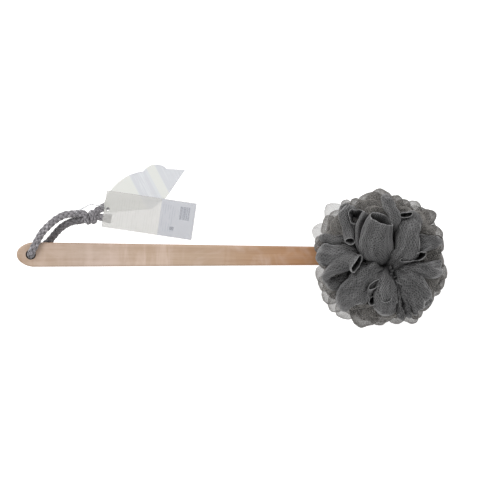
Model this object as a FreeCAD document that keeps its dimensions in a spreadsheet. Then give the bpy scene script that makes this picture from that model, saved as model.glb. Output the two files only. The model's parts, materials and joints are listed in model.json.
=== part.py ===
"""Long-handled bath pouf: a flat wooden handle with a braided hang cord and two swing tags at one end, and a
ball of gathered netting tied to the other end.

Row frame, millimetres: +X along the handle from the hang hole towards the netting, +Z up out of the handle's broad
front face, origin at the middle of the bare shaft's flat back face. The netting's centre lies on the tie hole's axis.
Every sub-part is an object of one document, and the driving sizes sit in the spreadsheet "sizes".
"""
import FreeCAD, Part
import math
import os

import Sketcher

V = FreeCAD.Vector
doc = FreeCAD.newDocument("bath_pouf")

# ---------------------------------------------------------------- driving dimensions
CELLS = [
    ("handle_thick", 8.0),      # handle, across its broad faces
    ("grip_half", 11.1),        # half the handle's width at the grip
    ("nose_reach", 13.7),       # hang hole axis to the handle's rounded end
    ("nose_radius", 8.5),
    ("flank_radius", 20.0),
    ("grip_length", 60.0),      # hang hole axis to the end of the grip
    ("taper", 0.612),           # degrees each side leans in
    ("bare_length", 250.0),     # hang hole axis to the end of the bare shaft
    ("tie_reach", 331.0),       # hang hole axis to the tie hole axis
    ("tip_shift", 0.5),         # tie hole axis to the centre of the tip's round
    ("edge_round", 2.2),
    ("hang_hole", 4.4),         # radius
    ("tie_hole", 2.5),          # radius
    ("rim_round", 0.7),
    ("origin_reach", 155.0),    # hang hole axis to the row's origin
    ("cord_radius", 2.9),
    ("knot_radius", 6.2),
    ("knot_length", 11.4),
    ("knot_round", 3.0),
    ("tail_radius", 4.2),
    ("filament", 0.4),          # radius of the clear tag loop
    ("card_length", 86.0),
    ("card_width", 35.0),
    ("card_margin", 3.6),       # card's near edge to its hole
    ("card_thick", 0.4),
    ("card_corner", 1.0),
    ("tag_hole", 1.6),          # radius
    ("card_level", 7.3),        # underside above the handle's mid plane
    ("fan_thick", 0.4),
    ("fan_level", 6.3),
    ("card_turn", -8.2),        # degrees from +X
    ("net_radius", 64.6),
    ("net_depth", 56.0),        # half the netting's height
    ("neck_inner", 3.0),
    ("neck_mid", 7.0),
    ("neck_outer", 10.8),
    ("net_floor", 6.5),         # netting above the handle's mid plane
    ("net_gap", 0.4),
    ("twine", 1.1),             # binding cord radius
    ("ring_radius", 12.1),
    ("ring_level", 8.3),
    ("strand_level", 5.3),
]
sheet = doc.addObject("Spreadsheet::Sheet", "sizes")
for row, (alias, value) in enumerate(CELLS, start=1):
    sheet.set(f"A{row}", alias)
    sheet.set(f"B{row}", repr(value))
    sheet.setAlias(f"B{row}", alias)
doc.recompute()


def S(name):
    """The value of a cell."""
    return float(getattr(sheet, name))


ORG = S("origin_reach")
MID = S("handle_thick") / 2          # the handle's mid plane above the back face
PARTS = []                           # (node name, document object)


def place(x, y, z, turn=0.0):
    """A placement in the row frame from a point counted from the hang hole axis and the handle's mid plane."""
    return FreeCAD.Placement(V(x - ORG, y, z + MID), FreeCAD.Rotation(V(0, 0, 1), turn))


def plane(body, role):
    return [f for f in body.Origin.OriginFeatures if f.Role == role][0]


def new_body(name):
    body = doc.addObject("PartDesign::Body", name)
    body.Label = name
    return body


def new_sketch(body, name, role="XY_Plane"):
    sk = body.newObject("Sketcher::SketchObject", name)
    sk.AttachmentSupport = [(plane(body, role), "")]
    sk.MapMode = "FlatFace"
    return sk


def line(sk, a, b):
    return sk.addGeometry(Part.LineSegment(V(a[0], a[1], 0), V(b[0], b[1], 0)), False)


def arc(sk, c, r, a0, a1):
    """Counter-clockwise arc about c from angle a0 to a1, in degrees."""
    circle = Part.Circle(V(c[0], c[1], 0), V(0, 0, 1), r)
    return sk.addGeometry(Part.ArcOfCircle(circle, math.radians(a0), math.radians(a1)), False)


def con(sk, *args):
    return sk.addConstraint(Sketcher.Constraint(*args))


def bind(sk, index, expression):
    sk.setExpression(f"Constraints[{index}]", expression)


def closed_polygon(sk, pts):
    """Straight closed outline. Each corner is fixed by its distances from the sketch's axes."""
    n = len(pts)
    ids = [line(sk, pts[i], pts[(i + 1) % n]) for i in range(n)]
    for i in range(n):
        con(sk, "Coincident", ids[i], 2, ids[(i + 1) % n], 1)
    return ids


# ---------------------------------------------------------------- handle
def make_handle():
    g, nose, rn, rf = S("grip_half"), S("nose_reach"), S("nose_radius"), S("flank_radius")
    seam = S("grip_length")
    body = new_body("handle")
    a = math.radians(S("taper"))
    # grip: round nose, two flank arcs, sides that narrow evenly from there on
    cn = -nose + rn
    qx, qy = seam - rf * math.sin(a), g - rf * math.cos(a)
    dx, dy = math.cos(a), -math.sin(a)
    bq = (qx - cn) * dx + qy * dy
    cq = (qx - cn) ** 2 + qy ** 2 - (rf - rn) ** 2
    along = -bq + math.sqrt(bq * bq - cq)
    cfx, cfy = qx + along * dx, qy + along * dy
    tx, ty = cfx + rf * math.sin(a), cfy + rf * math.cos(a)    # flank meets side
    at = math.degrees(math.atan2(0 - cfy, cn - cfx)) % 360      # flank meets nose
    up = math.degrees(math.atan2(ty - cfy, tx - cfx))
    sk = new_sketch(body, "grip_outline")
    a_nose = arc(sk, (cn, 0), rn, at, 360 - at)
    a_top = arc(sk, (cfx, cfy), rf, up, at)
    a_bot = arc(sk, (cfx, -cfy), rf, 360 - at, 360 - up)
    l_top = line(sk, (tx, ty), (seam, g))
    l_bot = line(sk, (tx, -ty), (seam, -g))
    l_seam = line(sk, (seam, -g), (seam, g))
    con(sk, "Tangent", l_top, 1, a_top, 1)
    con(sk, "Tangent", a_top, 2, a_nose, 1)
    con(sk, "Tangent", a_nose, 2, a_bot, 1)
    con(sk, "Tangent", a_bot, 2, l_bot, 1)
    con(sk, "Coincident", l_bot, 2, l_seam, 1)
    con(sk, "Coincident", l_seam, 2, l_top, 2)
    con(sk, "Vertical", l_seam)
    con(sk, "PointOnObject", a_nose, 3, -1)
    bind(sk, con(sk, "Angle", l_top, -a), "-sizes.taper * 1 deg")
    bind(sk, con(sk, "Angle", l_bot, a), "sizes.taper * 1 deg")
    bind(sk, con(sk, "Radius", a_nose, rn), "sizes.nose_radius")
    bind(sk, con(sk, "Radius", a_top, rf), "sizes.flank_radius")
    bind(sk, con(sk, "Radius", a_bot, rf), "sizes.flank_radius")
    bind(sk, con(sk, "DistanceX", a_nose, 3, -1, 1, -cn), "sizes.nose_reach - sizes.nose_radius")
    bind(sk, con(sk, "DistanceX", -1, 1, l_seam, 2, seam), "sizes.grip_length")
    bind(sk, con(sk, "DistanceY", -1, 1, l_seam, 2, g), "sizes.grip_half")
    bind(sk, con(sk, "DistanceY", l_seam, 1, -1, 1, g), "sizes.grip_half")
    pad = body.newObject("PartDesign::Pad", "grip_pad")
    pad.Profile = sk
    pad.Refine = False
    pad.setExpression("Length", "sizes.handle_thick")
    doc.recompute()
    # shaft: the same sides run on, bare as far as the netting
    end = S("bare_length")
    ge = g - (end - seam) * math.tan(a)
    sk2 = new_sketch(body, "shaft_outline")
    m_near = line(sk2, (seam, g), (seam, -g))
    m_bot = line(sk2, (seam, -g), (end, -ge))
    m_far = line(sk2, (end, -ge), (end, ge))
    m_top = line(sk2, (seam, g), (end, ge))
    con(sk2, "Coincident", m_near, 2, m_bot, 1)
    con(sk2, "Coincident", m_bot, 2, m_far, 1)
    con(sk2, "Coincident", m_far, 2, m_top, 2)
    con(sk2, "Coincident", m_top, 1, m_near, 1)
    con(sk2, "Vertical", m_near)
    con(sk2, "Vertical", m_far)
    bind(sk2, con(sk2, "Angle", m_top, -a), "-sizes.taper * 1 deg")
    bind(sk2, con(sk2, "Angle", m_bot, a), "sizes.taper * 1 deg")
    bind(sk2, con(sk2, "DistanceX", -1, 1, m_near, 1, seam), "sizes.grip_length")
    bind(sk2, con(sk2, "DistanceX", -1, 1, m_far, 1, end), "sizes.bare_length")
    bind(sk2, con(sk2, "DistanceY", -1, 1, m_near, 1, g), "sizes.grip_half")
    bind(sk2, con(sk2, "DistanceY", m_near, 2, -1, 1, g), "sizes.grip_half")
    pad1 = body.newObject("PartDesign::Pad", "shaft_pad")
    pad1.Profile = sk2
    pad1.Refine = False
    pad1.setExpression("Length", "sizes.handle_thick")
    doc.recompute()
    # tip: inside the netting, closed by a round
    xt = S("tie_reach") + S("tip_shift")
    rt = g * math.cos(a) - (xt - seam) * math.sin(a)
    px, py = xt + rt * math.sin(a), rt * math.cos(a)
    ta = math.degrees(math.atan2(py, px - xt))
    sk2 = new_sketch(body, "tip_outline")
    s_seam = line(sk2, (end, ge), (end, -ge))
    s_bot = line(sk2, (end, -ge), (px, -py))
    s_tip = arc(sk2, (xt, 0), rt, -ta, ta)
    s_top = line(sk2, (end, ge), (px, py))
    con(sk2, "Coincident", s_seam, 2, s_bot, 1)
    con(sk2, "Tangent", s_bot, 2, s_tip, 1)
    con(sk2, "Tangent", s_tip, 2, s_top, 2)
    con(sk2, "Coincident", s_top, 1, s_seam, 1)
    con(sk2, "Vertical", s_seam)
    con(sk2, "PointOnObject", s_tip, 3, -1)
    half = "sizes.grip_half - (sizes.bare_length - sizes.grip_length) * tan(sizes.taper * 1 deg)"
    bind(sk2, con(sk2, "Angle", s_top, -a), "-sizes.taper * 1 deg")
    bind(sk2, con(sk2, "DistanceX", -1, 1, s_seam, 1, end), "sizes.bare_length")
    bind(sk2, con(sk2, "DistanceY", -1, 1, s_seam, 1, ge), half)
    bind(sk2, con(sk2, "DistanceY", s_seam, 2, -1, 1, ge), half)
    bind(sk2, con(sk2, "DistanceX", -1, 1, s_tip, 3, xt), "sizes.tie_reach + sizes.tip_shift")
    pad2 = body.newObject("PartDesign::Pad", "tip_pad")
    pad2.Profile = sk2
    pad2.Refine = False
    pad2.setExpression("Length", "sizes.handle_thick")
    doc.recompute()
    # all outer edges of the two broad faces are rounded; the seams across them stay flat
    shape = pad2.Shape
    names = []
    for i, e in enumerate(shape.Edges, start=1):
        bb = e.BoundBox
        flat = bb.ZLength < 1e-6
        on_seam = bb.XLength < 1e-6
        if flat and not on_seam:
            names.append(f"Edge{i}")
    fil = body.newObject("PartDesign::Fillet", "edge_rounds")
    fil.Base = (pad2, names)
    fil.Refine = False
    fil.setExpression("Radius", "sizes.edge_round")
    doc.recompute()
    sk3 = new_sketch(body, "hole_circles")
    c1 = sk3.addGeometry(Part.Circle(V(0, 0, 0), V(0, 0, 1), S("hang_hole")), False)
    c2 = sk3.addGeometry(Part.Circle(V(S("tie_reach"), 0, 0), V(0, 0, 1), S("tie_hole")), False)
    con(sk3, "Coincident", c1, 3, -1, 1)
    con(sk3, "PointOnObject", c2, 3, -1)
    bind(sk3, con(sk3, "Radius", c1, S("hang_hole")), "sizes.hang_hole")
    bind(sk3, con(sk3, "Radius", c2, S("tie_hole")), "sizes.tie_hole")
    bind(sk3, con(sk3, "DistanceX", -1, 1, c2, 3, S("tie_reach")), "sizes.tie_reach")
    doc.recompute()
    before = fil.Shape.Volume
    pocket = body.newObject("PartDesign::Pocket", "holes")
    pocket.Profile = sk3
    pocket.Refine = False
    pocket.Type = "ThroughAll"
    pocket.Midplane = True
    doc.recompute()
    assert pocket.Shape.Volume < before - 100, "the holes cut nothing"
    rims = []
    for i, e in enumerate(pocket.Shape.Edges, start=1):
        if isinstance(e.Curve, Part.Circle) and e.BoundBox.ZLength < 1e-6:
            if abs(e.Curve.Radius - S("hang_hole")) < 1e-6 and abs(e.Curve.Center.x) < 1e-6:
                rims.append(f"Edge{i}")
    rim = body.newObject("PartDesign::Fillet", "hang_hole_rims")
    rim.Base = (pocket, rims)
    rim.Refine = False
    rim.setExpression("Radius", "sizes.rim_round")
    doc.recompute()
    body.Placement = FreeCAD.Placement(V(-ORG, 0, 0), FreeCAD.Rotation())
    PARTS.append(("handle", body))
    return body


# ---------------------------------------------------------------- round cords of straight and curved lengths
def cord_pieces(points, bends, radius, closed=False):
    """Solids of a round cord that follows the points, each corner turned with its bend radius: a cylinder for every
    straight length and part of a torus for every corner, meeting face to face."""
    pts = [V(*p) for p in points]
    n = len(pts)
    corners = range(n) if closed else range(1, n - 1)
    cut = {}
    pieces = []
    for i in corners:
        prev, here, nxt = pts[i - 1], pts[i], pts[(i + 1) % n]
        a = (here - prev).normalize()
        b = (nxt - here).normalize()
        theta = a.getAngle(b)
        if theta < 1e-4:
            cut[i] = (here, here)
            continue
        r = bends[i] if not isinstance(bends, float) else bends
        t = r * math.tan(theta / 2)
        start, end = here - a * t, here + b * t
        centre = here + (b - a).normalize() * (r / math.cos(theta / 2))
        disc = Part.Face(Part.Wire([Part.makeCircle(radius, start, a)]))
        pieces.append(disc.revolve(centre, a.cross(b), math.degrees(theta)))
        cut[i] = (start, end)
    for i in range(n if closed else n - 1):
        j = (i + 1) % n
        p = cut[i][1] if i in cut else pts[i]
        q = cut[j][0] if j in cut else pts[j]
        length = (q - p).Length
        assert (q - p).dot(pts[j] - pts[i]) > 0, f"the bends at {i} and {j} overlap"
        if length > 1e-6:
            pieces.append(Part.makeCylinder(radius, length, p, q - p))
    return pieces


# hang cord: one braided cord through the hang hole, its two legs tied together in an overhand knot.
# Points count from the hang hole axis and the handle's mid plane.
CORD = [(53.5, 38.0, 1.7), (37.0, 39.0, 1.7), (26.5, 36.3, 2.7), (11.0, 22.0, 7.4), (0.6, 0.6, 7.4),
        (0.6, 0.6, -7.4), (18.0, 14.6, -7.4), (27.5, 25.6, -5.2), (39.0, 31.2, -2.3), (53.5, 32.9, -1.7)]
CORD_BENDS = [0, 16.0, 16.0, 12.0, 3.2, 3.2, 14.0, 20.0, 20.0, 0]
KNOT = (56.3, 35.6, 0.0)
TAIL_A = [(58.3, 37.9, 0.0), (65.4, 42.0, -0.5), (72.6, 46.2, -1.0)]     # knot, where the end starts to open, cut end
TAIL_B = [(58.8, 36.3, 0.0), (66.8, 35.0, -0.5), (74.6, 33.7, -1.0)]


def cord_end(points, radius, wide):
    """A straight tail that opens out from its second point to its cut end."""
    a, b, c = (V(*p) for p in points)
    along = (c - a).normalize()
    b = a + along * (b - a).dot(along)
    return Part.makeCylinder(radius, (b - a).Length, a, along).fuse(Part.makeCone(radius, wide, (c - b).Length, b, along))


def make_cord():
    r = S("cord_radius")
    pieces = cord_pieces(CORD, CORD_BENDS, r)
    half = S("knot_length") / 2
    knot = Part.makeCylinder(S("knot_radius"), 2 * half, V(*KNOT) - V(half, 0, 0), V(1, 0, 0))
    knot = knot.makeFillet(S("knot_round"), [e for e in knot.Edges if isinstance(e.Curve, Part.Circle)])
    tail_a, tail_b = cord_end(TAIL_A, r, S("tail_radius")), cord_end(TAIL_B, r, S("tail_radius"))
    loop = pieces[0].multiFuse(pieces[1:])
    shape = knot.fuse(tail_a).fuse(tail_b).fuse(loop)
    obj = doc.addObject("Part::Feature", "hang_cord")
    obj.Label = "hang_cord"
    obj.Shape = shape.Solids[0] if len(shape.Solids) == 1 else shape
    obj.Placement = place(0, 0, 0)
    PARTS.append(("hang_cord", obj))
    return obj


TAG_PIN = (73.2, 43.4)        # the tags' hole, from the hang hole axis
FILAMENT = [(40.3, 34.9, 0.2), (41.2, 36.0, 4.6), (45.0, 42.0, 6.0), (56.0, 47.6, 8.1), (67.0, 46.4, 8.9), (73.5, 43.3, 8.9),
            (73.5, 43.3, 4.95), (66.0, 46.6, 4.95), (56.0, 48.2, 0.0), (45.0, 42.0, -4.4), (41.0, 35.9, -3.2)]
FILAMENT_BENDS = [1.2, 1.2, 4.0, 6.0, 6.0, 0.9, 0.9, 4.0, 6.0, 4.0, 1.2]


def make_filament():
    pieces = cord_pieces(FILAMENT, FILAMENT_BENDS, S("filament"), closed=True)
    shape = pieces[0].multiFuse(pieces[1:])
    obj = doc.addObject("Part::Feature", "tag_loop")
    obj.Label = "tag_loop"
    obj.Shape = shape.Solids[0] if len(shape.Solids) == 1 else shape
    obj.Placement = place(0, 0, 0)
    PARTS.append(("tag_loop", obj))
    return obj


# ---------------------------------------------------------------- tags
def make_card():
    L, W, m, c = S("card_length"), S("card_width"), S("card_margin"), S("card_corner")
    body = new_body("card_tag")
    sk = new_sketch(body, "card_outline")
    pts = [(-m, -W / 2), (L - m, -W / 2), (L - m, W / 2), (-m, W / 2)]
    ids = closed_polygon(sk, pts)
    for i, kind in enumerate(("Horizontal", "Vertical", "Horizontal", "Vertical")):
        con(sk, kind, ids[i])
    bind(sk, con(sk, "DistanceX", ids[0], 1, ids[0], 2, L), "sizes.card_length")
    bind(sk, con(sk, "DistanceY", ids[1], 1, ids[1], 2, W), "sizes.card_width")
    bind(sk, con(sk, "DistanceX", ids[0], 1, -1, 1, m), "sizes.card_margin")
    bind(sk, con(sk, "DistanceY", ids[0], 1, -1, 1, W / 2), "sizes.card_width / 2")
    hole = sk.addGeometry(Part.Circle(V(0, 0, 0), V(0, 0, 1), S("tag_hole")), False)
    con(sk, "Coincident", hole, 3, -1, 1)
    bind(sk, con(sk, "Radius", hole, S("tag_hole")), "sizes.tag_hole")
    pad = body.newObject("PartDesign::Pad", "card_sheet")
    pad.Profile = sk
    pad.setExpression("Length", "sizes.card_thick")
    doc.recompute()
    corners = [f"Edge{i}" for i, e in enumerate(pad.Shape.Edges, start=1)
               if isinstance(e.Curve, Part.Line) and e.BoundBox.ZLength > 1e-6]
    fil = body.newObject("PartDesign::Fillet", "card_corners")
    fil.Base = (pad, corners)
    fil.setExpression("Radius", "sizes.card_corner")
    doc.recompute()
    body.Placement = place(TAG_PIN[0], TAG_PIN[1], S("card_level"), S("card_turn"))
    PARTS.append(("card_tag", body))
    return body


# outline of the arched tag about its hole, along the straight parts, and the two round parts by three points each
FAN_LINES = [(-3.6, 6.6), (-3.6, -3.8), (41.7, 0.4), (54.4, 10.5), (59.2, 17.1), (72.9, 37.5), (55.6, 38.4)]
FAN_BUMP = [(55.6, 38.4), (45.2, 42.5), (33.4, 36.1)]
FAN_ARCH = [(33.4, 36.1), (11.0, 26.6), (-3.6, 6.6)]


def make_fan():
    body = new_body("arched_tag")
    sk = new_sketch(body, "arch_outline")
    n = len(FAN_LINES)
    ids = [line(sk, FAN_LINES[i], FAN_LINES[i + 1]) for i in range(n - 1)]
    bump = sk.addGeometry(Part.Arc(*[V(x, y, 0) for x, y in FAN_BUMP]), False)
    arch = sk.addGeometry(Part.Arc(*[V(x, y, 0) for x, y in FAN_ARCH]), False)
    for i in range(n - 2):
        con(sk, "Coincident", ids[i], 2, ids[i + 1], 1)
    # arcs made through three points run counter-clockwise, so their ends are matched by place
    def end_at(g, p):
        for e in (1, 2):
            q = sk.getPoint(g, e)
            if abs(q.x - p[0]) < 1e-4 and abs(q.y - p[1]) < 1e-4:
                return e
        raise RuntimeError("no end there")
    con(sk, "Coincident", ids[-1], 2, bump, end_at(bump, FAN_BUMP[0]))
    con(sk, "Coincident", bump, end_at(bump, FAN_BUMP[2]), arch, end_at(arch, FAN_ARCH[0]))
    con(sk, "Coincident", arch, end_at(arch, FAN_ARCH[2]), ids[0], 1)
    for g in ids:
        con(sk, "Block", g)
    con(sk, "Block", bump)
    con(sk, "Block", arch)
    hole = sk.addGeometry(Part.Circle(V(0, 0, 0), V(0, 0, 1), S("tag_hole")), False)
    con(sk, "Coincident", hole, 3, -1, 1)
    bind(sk, con(sk, "Radius", hole, S("tag_hole")), "sizes.tag_hole")
    pad = body.newObject("PartDesign::Pad", "arch_sheet")
    pad.Profile = sk
    pad.setExpression("Length", "sizes.fan_thick")
    doc.recompute()
    body.Placement = place(TAG_PIN[0], TAG_PIN[1], S("fan_level"))
    PARTS.append(("arched_tag", body))
    return body


# ---------------------------------------------------------------- netting
def ell(t):
    """Point (radius, height) of the netting's outline at polar angle t in degrees from its axis."""
    return (S("net_radius") * math.sin(math.radians(t)), S("net_depth") * math.cos(math.radians(t)))


def net_body(name, pts, flip, lobes, flutes, arc_at=()):
    """One length of netting as a turned ring with scalloped lobes.

    pts is the half section (radius, height), flip mirrors it below the handle, flutes is a list of round grooves between
    lobes (polar angle, radius, axis above the surface, length, phase), repeated lobes times.
    arc_at lists the indices whose segment bulges along the outline."""
    body = new_body(name)
    sk = new_sketch(body, name + "_section", "XZ_Plane")
    sgn = -1 if flip else 1
    n = len(pts)
    q = [(x, sgn * z) for x, z in pts]
    ids = []
    for i in range(n):
        a, b = q[i], q[(i + 1) % n]
        if i in arc_at:
            # the arc's middle point lies on the outline, half way between the ends' polar angles
            ta = math.atan2(a[0] / S("net_radius"), abs(a[1]) / S("net_depth"))
            tb = math.atan2(b[0] / S("net_radius"), abs(b[1]) / S("net_depth"))
            m = ell(math.degrees((ta + tb) / 2))
            ids.append(sk.addGeometry(Part.Arc(V(a[0], a[1], 0), V(m[0], sgn * m[1], 0), V(b[0], b[1], 0)), False))
        else:
            ids.append(line(sk, a, b))

    def end_at(g, p):
        for e in (1, 2):
            w = sk.getPoint(g, e)
            if abs(w.x - p[0]) < 1e-4 and abs(w.y - p[1]) < 1e-4:
                return e
        raise RuntimeError("no end there")
    for i in range(n):
        j = (i + 1) % n
        con(sk, "Coincident", ids[i], end_at(ids[i], q[j]), ids[j], end_at(ids[j], q[j]))
    for g in ids:
        con(sk, "Block", g)
    rev = body.newObject("PartDesign::Revolution", name + "_turn")
    rev.Profile = sk
    rev.ReferenceAxis = (plane(body, "Z_Axis"), [""])
    rev.Angle = 360.0
    doc.recompute()
    before = rev.Shape.Volume
    groups = []
    for k, (t, radius, lift, length, phase) in enumerate(flutes):
        cut = body.newObject("PartDesign::SubtractiveCylinder", f"{name}_flute{k}")
        w = math.radians(t)
        px, pz = ell(t)
        along = V(S("net_radius") * math.cos(w), 0, -sgn * S("net_depth") * math.sin(w)).normalize()
        out = V(-sgn * along.z, 0, sgn * along.x).normalize() if not flip else V(along.z, 0, -along.x).normalize()
        start = V(px, 0, sgn * pz) + out * lift - along * (length / 2)
        cut.AttachmentSupport = [(plane(body, "XY_Plane"), "")]
        cut.MapMode = "FlatFace"
        turn = FreeCAD.Rotation(V(0, 0, 1), phase)
        cut.AttachmentOffset = FreeCAD.Placement(turn.multVec(start), turn * FreeCAD.Rotation(V(0, 0, 1), along))
        cut.Radius = radius
        cut.Height = length
        doc.recompute()
        pat = body.newObject("PartDesign::PolarPattern", f"{name}_lobes{k}")
        pat.Originals = [cut]
        pat.Axis = (plane(body, "Z_Axis"), [""])
        pat.Angle = 360.0
        pat.Occurrences = lobes
        body.Tip = pat
        doc.recompute()
        groups.append(pat)
    if groups:
        assert groups[-1].Shape.Volume < before - 500, name + ": the flutes cut nothing"
    body.Placement = place(S("tie_reach"), 0, 0)
    return body


def make_nets():
    ni, nm, no, floor, gap = S("neck_inner"), S("neck_mid"), S("neck_outer"), S("net_floor"), S("net_gap")
    a1, a2, a3 = ell(19), ell(44), ell(46)
    rim = ell(math.degrees(math.acos(floor / S("net_depth"))))
    rosette = [(ni, floor), (nm, floor), (nm, 13.0), a2, a1, (ni + 1.5, 40.0), (ni, 36.0)]
    ruffle = [(nm + gap, floor), (no, floor), (no, 9.8), (13.8, 9.8), (14.6, floor), rim, a3, (nm + gap, 12.2)]
    for flip, side in ((False, "front"), (True, "back")):
        n1, n2 = (11, 15) if not flip else (12, 16)
        b = net_body(f"net_{side}_rosette", rosette, flip, n1, [(31, 5.5, 2.6, 52, 7.0)], arc_at=(3,))
        PARTS.append((f"net_{side}_rosette", b))
        b = net_body(f"net_{side}_ruffle", ruffle, flip, n2, [(64, 7.4, 3.6, 78, 3.0)], arc_at=(5,))
        PARTS.append((f"net_{side}_ruffle", b))
    # side fringe: a flat scalloped ring at the handle's level, open where the handle comes in
    body = new_body("net_side_fringe")
    sk = new_sketch(body, "fringe_section", "XZ_Plane")
    z = floor - gap
    R = S("net_radius")
    ids = closed_polygon(sk, [(14.6, -z), (R, -z), (R, z), (14.6, z)])
    for i, kind in enumerate(("Horizontal", "Vertical", "Horizontal", "Vertical")):
        con(sk, kind, ids[i])
    con(sk, "DistanceX", -1, 1, ids[0], 1, 14.6)
    bind(sk, con(sk, "DistanceX", -1, 1, ids[0], 2, R), "sizes.net_radius")
    bind(sk, con(sk, "DistanceY", ids[0], 1, -1, 1, z), "sizes.net_floor - sizes.net_gap")
    bind(sk, con(sk, "DistanceY", ids[1], 1, ids[1], 2, 2 * z), "2 * (sizes.net_floor - sizes.net_gap)")
    rev = body.newObject("PartDesign::Revolution", "fringe_turn")
    rev.Profile = sk
    rev.ReferenceAxis = (plane(body, "Z_Axis"), [""])
    rev.Angle = 360.0
    doc.recompute()
    cyl = body.newObject("PartDesign::SubtractiveCylinder", "fringe_notch")
    cyl.AttachmentSupport = [(plane(body, "XY_Plane"), "")]
    cyl.MapMode = "FlatFace"
    cyl.AttachmentOffset = FreeCAD.Placement(V(R + 3.4, 0, -10), FreeCAD.Rotation())
    cyl.Radius = 5.0
    cyl.Height = 20.0
    doc.recompute()
    pat = body.newObject("PartDesign::PolarPattern", "fringe_lobes")
    pat.Originals = [cyl]
    pat.Axis = (plane(body, "Z_Axis"), [""])
    pat.Angle = 360.0
    pat.Occurrences = 23
    body.Tip = pat
    doc.recompute()
    assert pat.Shape.Volume < rev.Shape.Volume - 500, "the fringe notches cut nothing"
    sk2 = new_sketch(body, "handle_gap")
    closed = closed_polygon(sk2, [(12.0, 13.5), (-75.0, 27.0), (-75.0, -27.0), (12.0, -13.5)])
    for g in closed:
        con(sk2, "Block", g)
    pocket = body.newObject("PartDesign::Pocket", "handle_opening")
    pocket.Profile = sk2
    pocket.Type = "ThroughAll"
    pocket.Midplane = True
    doc.recompute()
    assert pocket.Shape.Volume < pat.Shape.Volume - 1000, "the handle's opening cut nothing"
    body.Placement = place(S("tie_reach"), 0, 0)
    PARTS.append(("net_side_fringe", body))


# ---------------------------------------------------------------- binding cord
def make_binding():
    """Twine through the tie hole and round both gathered necks: two rings, three uprights, and a strand through the
    hole that runs out to the tip's upright above and below the handle."""
    pieces = []

    def add(kind, name, placement, **exprs):
        o = doc.addObject(kind, name)
        for prop, e in exprs.items():
            o.setExpression(prop, e)
        o.Placement = placement
        pieces.append(o)
        return o
    rr, lv = S("ring_radius"), S("ring_level")
    up = FreeCAD.Rotation()
    for k, z in (("front", lv), ("back", -lv)):
        add("Part::Torus", f"ring_{k}", FreeCAD.Placement(V(0, 0, z), up), Radius1="sizes.ring_radius", Radius2="sizes.twine")
    for k, (x, y) in enumerate(((rr, 0), (0, rr), (0, -rr))):
        add("Part::Cylinder", f"upright_{k}", FreeCAD.Placement(V(x, y, -lv), up), Radius="sizes.twine - 0.1", Height="2 * sizes.ring_level")
    zc = S("strand_level")
    strand = doc.addObject("Part::Feature", "through_strand")
    solids = cord_pieces([(rr, 0, zc), (0, 0, zc), (0, 0, -zc), (rr, 0, -zc)], 1.2, S("twine") - 0.2)
    strand.Shape = solids[0].multiFuse(solids[1:])
    pieces.append(strand)
    doc.recompute()
    fuse = doc.addObject("Part::MultiFuse", "binding_cord")
    fuse.Shapes = pieces
    fuse.Label = "binding_cord"
    doc.recompute()
    fuse.Placement = place(S("tie_reach"), 0, 0)
    PARTS.append(("binding_cord", fuse))
    return fuse


make_handle()
make_cord()
make_filament()
make_card()
make_fan()
make_nets()
make_binding()
doc.recompute()

# ---------------------------------------------------------------- check, then write
os.makedirs("parts", exist_ok=True)
bad = [o.Name for o in doc.Objects if any(s in ("Invalid", "Error") for s in o.State)]
if bad:
    raise SystemExit("failed objects: " + ", ".join(bad))
for node, obj in PARTS:
    shape = obj.Shape
    if shape.isNull() or not shape.isValid() or not shape.Solids:
        raise SystemExit(node + ": its shape is null or not valid")
for node, obj in PARTS:
    obj.Shape.exportStep("parts/" + node + ".step")
    bb = obj.Shape.BoundBox
    print(f"{node:20s} solids {len(obj.Shape.Solids)} volume {obj.Shape.Volume:10.1f}  "
          f"x {bb.XMin:8.1f} {bb.XMax:8.1f}  y {bb.YMin:7.1f} {bb.YMax:7.1f}  z {bb.ZMin:7.1f} {bb.ZMax:7.1f}")
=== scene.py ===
import json
import math

import bpy
import numpy as np
from mathutils import Matrix, Vector


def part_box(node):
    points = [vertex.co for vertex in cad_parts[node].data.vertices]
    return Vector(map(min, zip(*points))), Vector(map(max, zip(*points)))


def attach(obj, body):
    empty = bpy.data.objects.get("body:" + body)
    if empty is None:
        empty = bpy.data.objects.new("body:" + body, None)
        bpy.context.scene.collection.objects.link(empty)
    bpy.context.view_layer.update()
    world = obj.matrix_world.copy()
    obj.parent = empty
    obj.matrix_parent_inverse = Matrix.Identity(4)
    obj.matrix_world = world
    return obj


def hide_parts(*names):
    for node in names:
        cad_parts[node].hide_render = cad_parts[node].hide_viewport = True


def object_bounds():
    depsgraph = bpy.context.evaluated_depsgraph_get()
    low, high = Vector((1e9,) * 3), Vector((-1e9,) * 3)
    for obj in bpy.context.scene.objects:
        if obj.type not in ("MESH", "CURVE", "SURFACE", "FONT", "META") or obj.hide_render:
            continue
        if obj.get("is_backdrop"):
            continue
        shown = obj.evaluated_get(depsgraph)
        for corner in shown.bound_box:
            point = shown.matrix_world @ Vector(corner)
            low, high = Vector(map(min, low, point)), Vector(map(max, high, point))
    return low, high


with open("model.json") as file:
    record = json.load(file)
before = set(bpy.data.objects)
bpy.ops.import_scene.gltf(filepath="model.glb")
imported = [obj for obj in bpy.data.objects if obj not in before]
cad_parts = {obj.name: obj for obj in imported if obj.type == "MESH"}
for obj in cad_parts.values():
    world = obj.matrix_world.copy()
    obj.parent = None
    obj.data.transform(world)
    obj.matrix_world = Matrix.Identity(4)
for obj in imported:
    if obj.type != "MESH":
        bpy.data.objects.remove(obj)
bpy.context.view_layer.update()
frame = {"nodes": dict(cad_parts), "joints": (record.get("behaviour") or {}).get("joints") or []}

MM = 0.001
JOINT = {j["name"]: j for j in frame["joints"]}
HANG = np.array(JOINT["cord_swing"]["pos_m"]) * 1000.0      # hang hole axis, mm
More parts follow.
